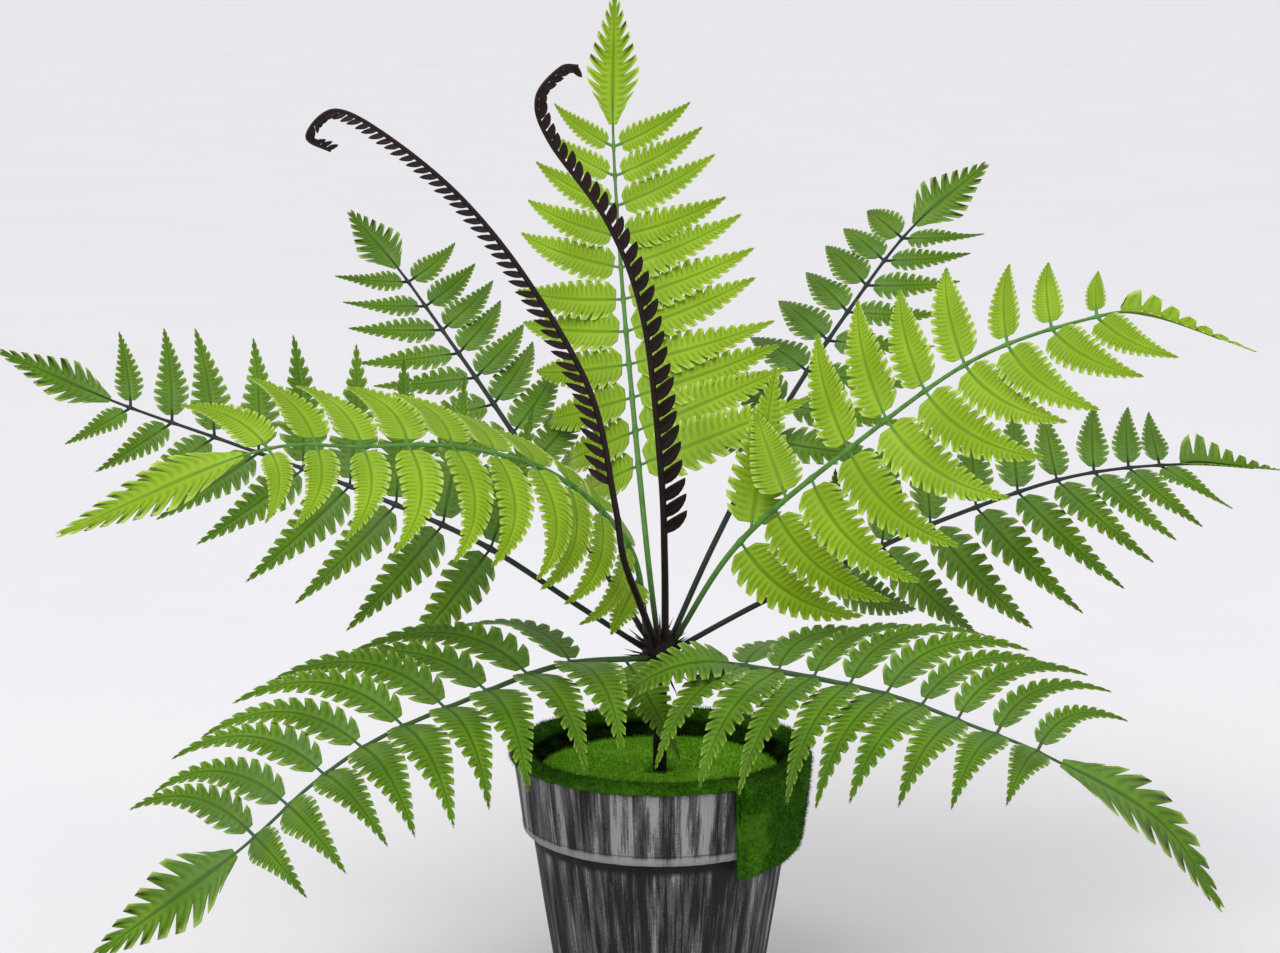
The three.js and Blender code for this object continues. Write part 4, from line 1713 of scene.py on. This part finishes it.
# End leaf, bare stalk, pairs, crowd, path of the midrib from the crown to the tip; turn, tilt,
# lift and bend, each at the blade's foot and tip; then the leaflets on the left and the right,
# as length and angle at the blade's foot, middle and tip, hook and arch.
FRONDS = [
    Frond("lime_top", LIME, 68, 92, 11, 0.12,
          [(-1, 5, 186), (-6, 14, 226), (-14, 60, 300), (-20, 90, 365), (-24, 108, 435),
           (-23, 112, 502)],
          (-25, 0), (5, 10), (-15, 0), (0.3, 0.2),
          Row((84, 75, 38), (78, 68, 50), bend=(0.38, 0.2), broad=0.75),
          Row((96, 77, 46), (64, 71, 55), broad=0.8)),
    Frond("lime_left", LIME, 92, 60, 10, 0,
          [(-6, -2, 186), (-15, -15, 238), (-49, -35, 277), (-93, -60, 296), (-140, -80, 300),
           (-188, -95, 300), (-275, -110, 265)],
          (-20, -20), (65, 50), (-10, 5), (0.25, 0.1),
          Row((56, 75, 42), (95, 75, 75), 0.5, broad=0.8),
          Row((52, 64, 55), (82, 85, 50), 0.4, broad=0.95),
          [Stray(38, (-14, -12, -27), (0, -1, 0.2), 0.2, 1.6)], end_broad=0.9),
    Frond("lime_right", LIME, 66, 68, 10, 0.1,
          [(6, -1.5, 186), (38, -20, 241), (89, -45, 292), (145, -65, 338), (197, -80, 360),
           (225, -83, 362), (273, -90, 346)],
          (10, -25), (30, 45), (-10, 10), (0.25, 0.15),
          Row((64, 74, 25), (80, 85, 84), 0.05, 0.0, (0.25, 0.3), 0.85, skip=3),
          Row((78, 70, 46), (85, 65, 40), 0.4),
          [Stray(76, (13, 25, 78), (-0.1, -1, 0), 0.1, 0.95),
           Stray(102, (-15, 25, 40), (-0.1, -1, 0), 0.1, 1.35)],
          end_leaf=LIME_COMB, end_broad=1.0, end_keel=6, end_turn=0, end_tilt=75),
    Frond("dark_back_left", DARK, 45, 126, 8, 0.1,
          [(-4, 4, 184), (-25, 32, 211), (-84, 105, 285), (-121, 158, 327), (-144, 182, 354),
           (-170, 200, 381)],
          (0, 0), (35, 75), (-10, 10), (0.25, 0.15),
          Row((68, 59, 38), (60, 57, 60), 0.3), Row((68, 61, 44), (53, 52, 70), 0.2),
          end_broad=1.5, end_tilt=45),
    Frond("dark_back_right", DARK, 55, 125, 8, 0.2,
          [(4, 4, 184), (28, 25, 233), (64, 80, 290), (101, 125, 337), (136, 160, 376),
           (178, 180, 409)],
          (-30, 15), (30, 80), (-5, 5), (0.25, 0.15),
          Row((73, 60, 46), (70, 60, 65), 0.1, 0.0, (0.35, 0.3), 1.15),
          Row((75, 56, 46), (70, 60, 55), 0.3),
          end_broad=1.4, end_tilt=50),
    Frond("dark_left", DARK, 62, 95, 9, 0.12,
          [(-6, 1, 182), (-41, 10, 203), (-91, 25, 232), (-155, 45, 256), (-220, 55, 278),
           (-278, 60, 298), (-336, 60, 324)],
          (-5, 5), (15, 40), (5, 10), (0.15, 0.1),
          Row((78, 68, 36), (80, 60, 60), 0.1), Row((78, 73, 40), (80, 65, 60), 0.1)),
    Frond("dark_right", DARK, 55, 91, 9, 0.35,
          [(6, 1, 182), (50, 15, 203), (102, 35, 223), (149, 55, 239), (213, 80, 255),
           (273, 90, 260), (326, 95, 256)],
          (-10, -50), (5, 55), (-15, 10), (0.3, 0.15),
          Row((70, 80, 47), (50, 60, 80), 0.1, broad=0.8), Row((69, 76, 44), (45, 70, 55), 0.25),
          end_leaf=DARK_COMB, end_broad=1.5, end_keel=7, end_turn=0, end_tilt=70),
    Frond("dark_front_left", DARK, 80, 50, 9, 0.15,
          [(-4, -5, 180), (-49, -40, 185), (-93, -80, 178), (-131, -110, 168),
           (-160, -130, 152), (-195, -140, 122), (-258, -150, 77)],
          (-5, -45), (80, 15), (5, 20), (0.2, 0.1),
          Row((94, 80, 54), (70, 70, 100), 0.1, 0.25, stalk=1.5),
          Row((97, 85, 62), (70, 50, 55), 0.6, 0.2, broad=0.85),
          [Stray(17, (27, -18, -46), (0.3, -0.9, 0.4), 0.2, 1.5)], end_broad=1.25,
          pale_stalk=True),
    Frond("dark_front_right", DARK, 103, 50, 9, 0,
          [(4, -5, 180), (54, -50, 185), (105, -90, 184), (140, -120, 178), (177, -140, 167),
           (225, -148, 140), (254, -150, 100)],
          (40, -35), (45, 75), (-5, 15), (0.2, 0.1),
          Row((83, 75, 52), (85, 60, 60), 0.7, 0.2, broad=0.85),
          Row((82, 79, 50), (90, 80, 90), 0.1, 0.25, stalk=1.5),
          [Stray(46, (-66, -22, -20), (0, -0.3, 1), 0.7, 1.35)], end_broad=1.1,
          pale_stalk=True),
]

# Side of the comb, where it starts, its teeth, and the path of the stalk.
CROSIERS = [
    Crosier("crosier_left", -1, 112, 53,
            [(-2, -5.5, 186), (-10, -28, 213), (-18, -50, 241), (-22, -58, 269), (-33, -62, 322),
             (-61, -66, 374), (-92, -68, 414), (-126, -70, 443), (-150, -70, 455),
             (-163, -70, 443), (-151, -70, 436)], long=(13.0, 5.0), half=(1.9, 1.1)),
    Crosier("crosier_right", 1, 68, 38,
            [(2.5, -5.5, 187), (2, -25, 234), (0, -40, 281), (-8, -48, 353), (-24, -50, 399),
             (-52, -50, 439), (-58, -50, 459), (-47, -50, 473), (-38, -50, 474)],
            half=(3.8, 1.7)),
]

# The third and fifth colours are painted highlights: the pale glow at the teeth and the sheen near
# the foot.
LIME_FINISH = LeafFinish("lime_leaf_plastic", 0x7E9F0C, 0x557C02, 0xD2E280, 0x90B11C, 0x86A83C,
                         0.55, 0.5, 0.3)
DARK_FINISH = LeafFinish("dark_leaf_plastic", 0x4C7004, 0x2B4E00, 0xB4C868, 0x5E840A, 0x6A8E50,
                         0.5, 0.55, 0.4)
LIME_STALK = StalkFinish("lime_stalk_plastic", 0x1A1D14, 0x548634, 190, 240)
DARK_STALK = StalkFinish("dark_stalk_plastic", 0x0E100C, 0x1B2C1E, 190, 215)
FRONT_STALK = StalkFinish("front_stalk_plastic", 0x1A2613, 0x3C5A2E, 60, 100)
CROSIER_FINISH = BrownFinish("crosier_plastic", 0x160605, 0x2A0F0D, 0.45)
BARK_FINISH = BrownFinish("bark_plastic", 0x140D0C, 0x261713, 0.6)
# The fourth colour of each moss finish is its painted shade in the recess under the lip.
MOSS_FINISH = MossFinish("flocked_moss", 0x1E4503, 0x3A6C0C, 0x55891A, 0x060D02, 62, 131)
# The round's moss is painted lighter than the collar's: painted light against the shade of the
# fronds over it.
MOSS_ROUND_PAINTED_LIGHT_FINISH = MossFinish("flocked_moss_round", 0x62A21C, 0x92D430, 0xA8E646,
                              0x0C1603, 62, 131)
# The fourth colour is the painted shadow under the rim band.
POT_FINISH = WoodLookFinish("wood_look_plastic", 0x191818, 0x4E4C4E, 0x959294, 0x0B0A0A, 92,
                            97)
FOAM_FINISH = PlainFinish("filling_foam", 0x2A2019, 0x3A2E24, 300, 0.95)
FLOOR_FINISH = PlainFinish("studio_floor", 0xE9E8EA, 0xE7E6E9, 3, 0.8)


# ---- studio ---------------------------------------------------------------------------------


@dataclass
class Studio:
    """A pale floor, soft lights and the camera. Its places are in metres."""

    camera_place: Triple = (-0.010, -1.4633, 0.5498)
    camera_down: float = 10.8
    lens: float = 85
    floor_size: float = 120
    aim: Triple = (0, 0, 0.25)
    sky_tint: Triple = (0.98, 0.975, 1.0)
    sky_strength: float = 0.72

    def set_camera(self) -> None:
        """Makes the camera, first of all."""
        data = bpy.data.cameras.new("studio_camera")
        data.lens = self.lens
        data.sensor_width = 36
        data.sensor_fit = "HORIZONTAL"
        data.clip_end = 200
        camera = shown("studio_camera", data)
        camera.location = self.camera_place
        camera.rotation_euler = (math.radians(90 - self.camera_down), 0, 0)
        bpy.context.scene.camera = camera

    def set_lights(self) -> None:
        """Hangs the soft lights and sets an even sky."""
        self._softbox("key_light", (-0.9, -1.5, 1.9), 1.5, 12)
        self._softbox("fill_light", (1.6, -1.1, 1.2), 1.6, 5)
        data = bpy.data.lights.new("wide_light", "SUN")
        data.energy = 1.2
        data.angle = math.radians(40)
        light = shown("wide_light", data)
        light.rotation_euler = (math.radians(38), 0, math.radians(-28))
        world = bpy.data.worlds.new("studio_sky")
        world.use_nodes = True
        sky = world.node_tree.nodes["Background"]
        sky.inputs["Color"].default_value = (*self.sky_tint, 1)
        sky.inputs["Strength"].default_value = self.sky_strength
        bpy.context.scene.world = world
        bpy.context.scene.view_settings.view_transform = "Standard"

    def _softbox(self, name: str, place: Triple, size: float, power: float) -> None:
        """A square light that looks at the middle of the plant.

        Args:
            name: the light's name.
            place: where it hangs, in metres.
            size: length of its side, in metres.
            power: in watts.
        """
        data = bpy.data.lights.new(name, "AREA")
        data.size = size
        data.energy = power
        light = shown(name, data)
        light.location = place
        aim = Vector(self.aim) - Vector(place)
        light.rotation_euler = aim.to_track_quat("-Z", "Y").to_euler()

    def lay_floor(self) -> None:
        """Lays the floor, which isn't part of the plant."""
        deselect()
        bpy.ops.mesh.primitive_plane_add(size=self.floor_size)
        floor = fresh("studio_floor")
        floor.data.materials.append(FLOOR_FINISH.mixed())


def finish_filling(frame: dict) -> None:
    """Gives the hidden filling, which keeps its CAD shape, its own finish.

    Args:
        frame: the loaded frame.
    """
    node = frame["nodes"]["filling"]
    node.data.materials.clear()
    node.data.materials.append(FOAM_FINISH.mixed())


def main() -> None:
    """Builds the plant from the foot up round the loaded frame."""
    logging.basicConfig(level=logging.INFO, format="%(name)s: %(message)s")
    studio = Studio()
    studio.set_camera()
    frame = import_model()
    finish_filling(frame)
    pot = Pot()
    pot.build(POT_FINISH.mixed())
    Moss(pot).build(MOSS_FINISH.mixed(), MOSS_ROUND_PAINTED_LIGHT_FINISH.mixed())
    Crown().build(BARK_FINISH.mixed())
    dies = {d.name: d.cut() for d in DIES}
    leaf = {Slot.LIME: LIME_FINISH.mixed(), Slot.DARK: DARK_FINISH.mixed()}
    stalk = {Slot.LIME: LIME_STALK.mixed(), Slot.DARK: DARK_STALK.mixed()}
    pale = FRONT_STALK.mixed()
    for frond in FRONDS:
        own = pale if frond.pale_stalk else stalk[frond.breed.slot]
        frond.build(dies, leaf[frond.breed.slot], own)
    brown = CROSIER_FINISH.mixed()
    for crosier in CROSIERS:
        crosier.build(dies[CROSIER_LEAF.name], brown)
    studio.lay_floor()
    studio.set_lights()


if __name__ == "__main__":
    main()
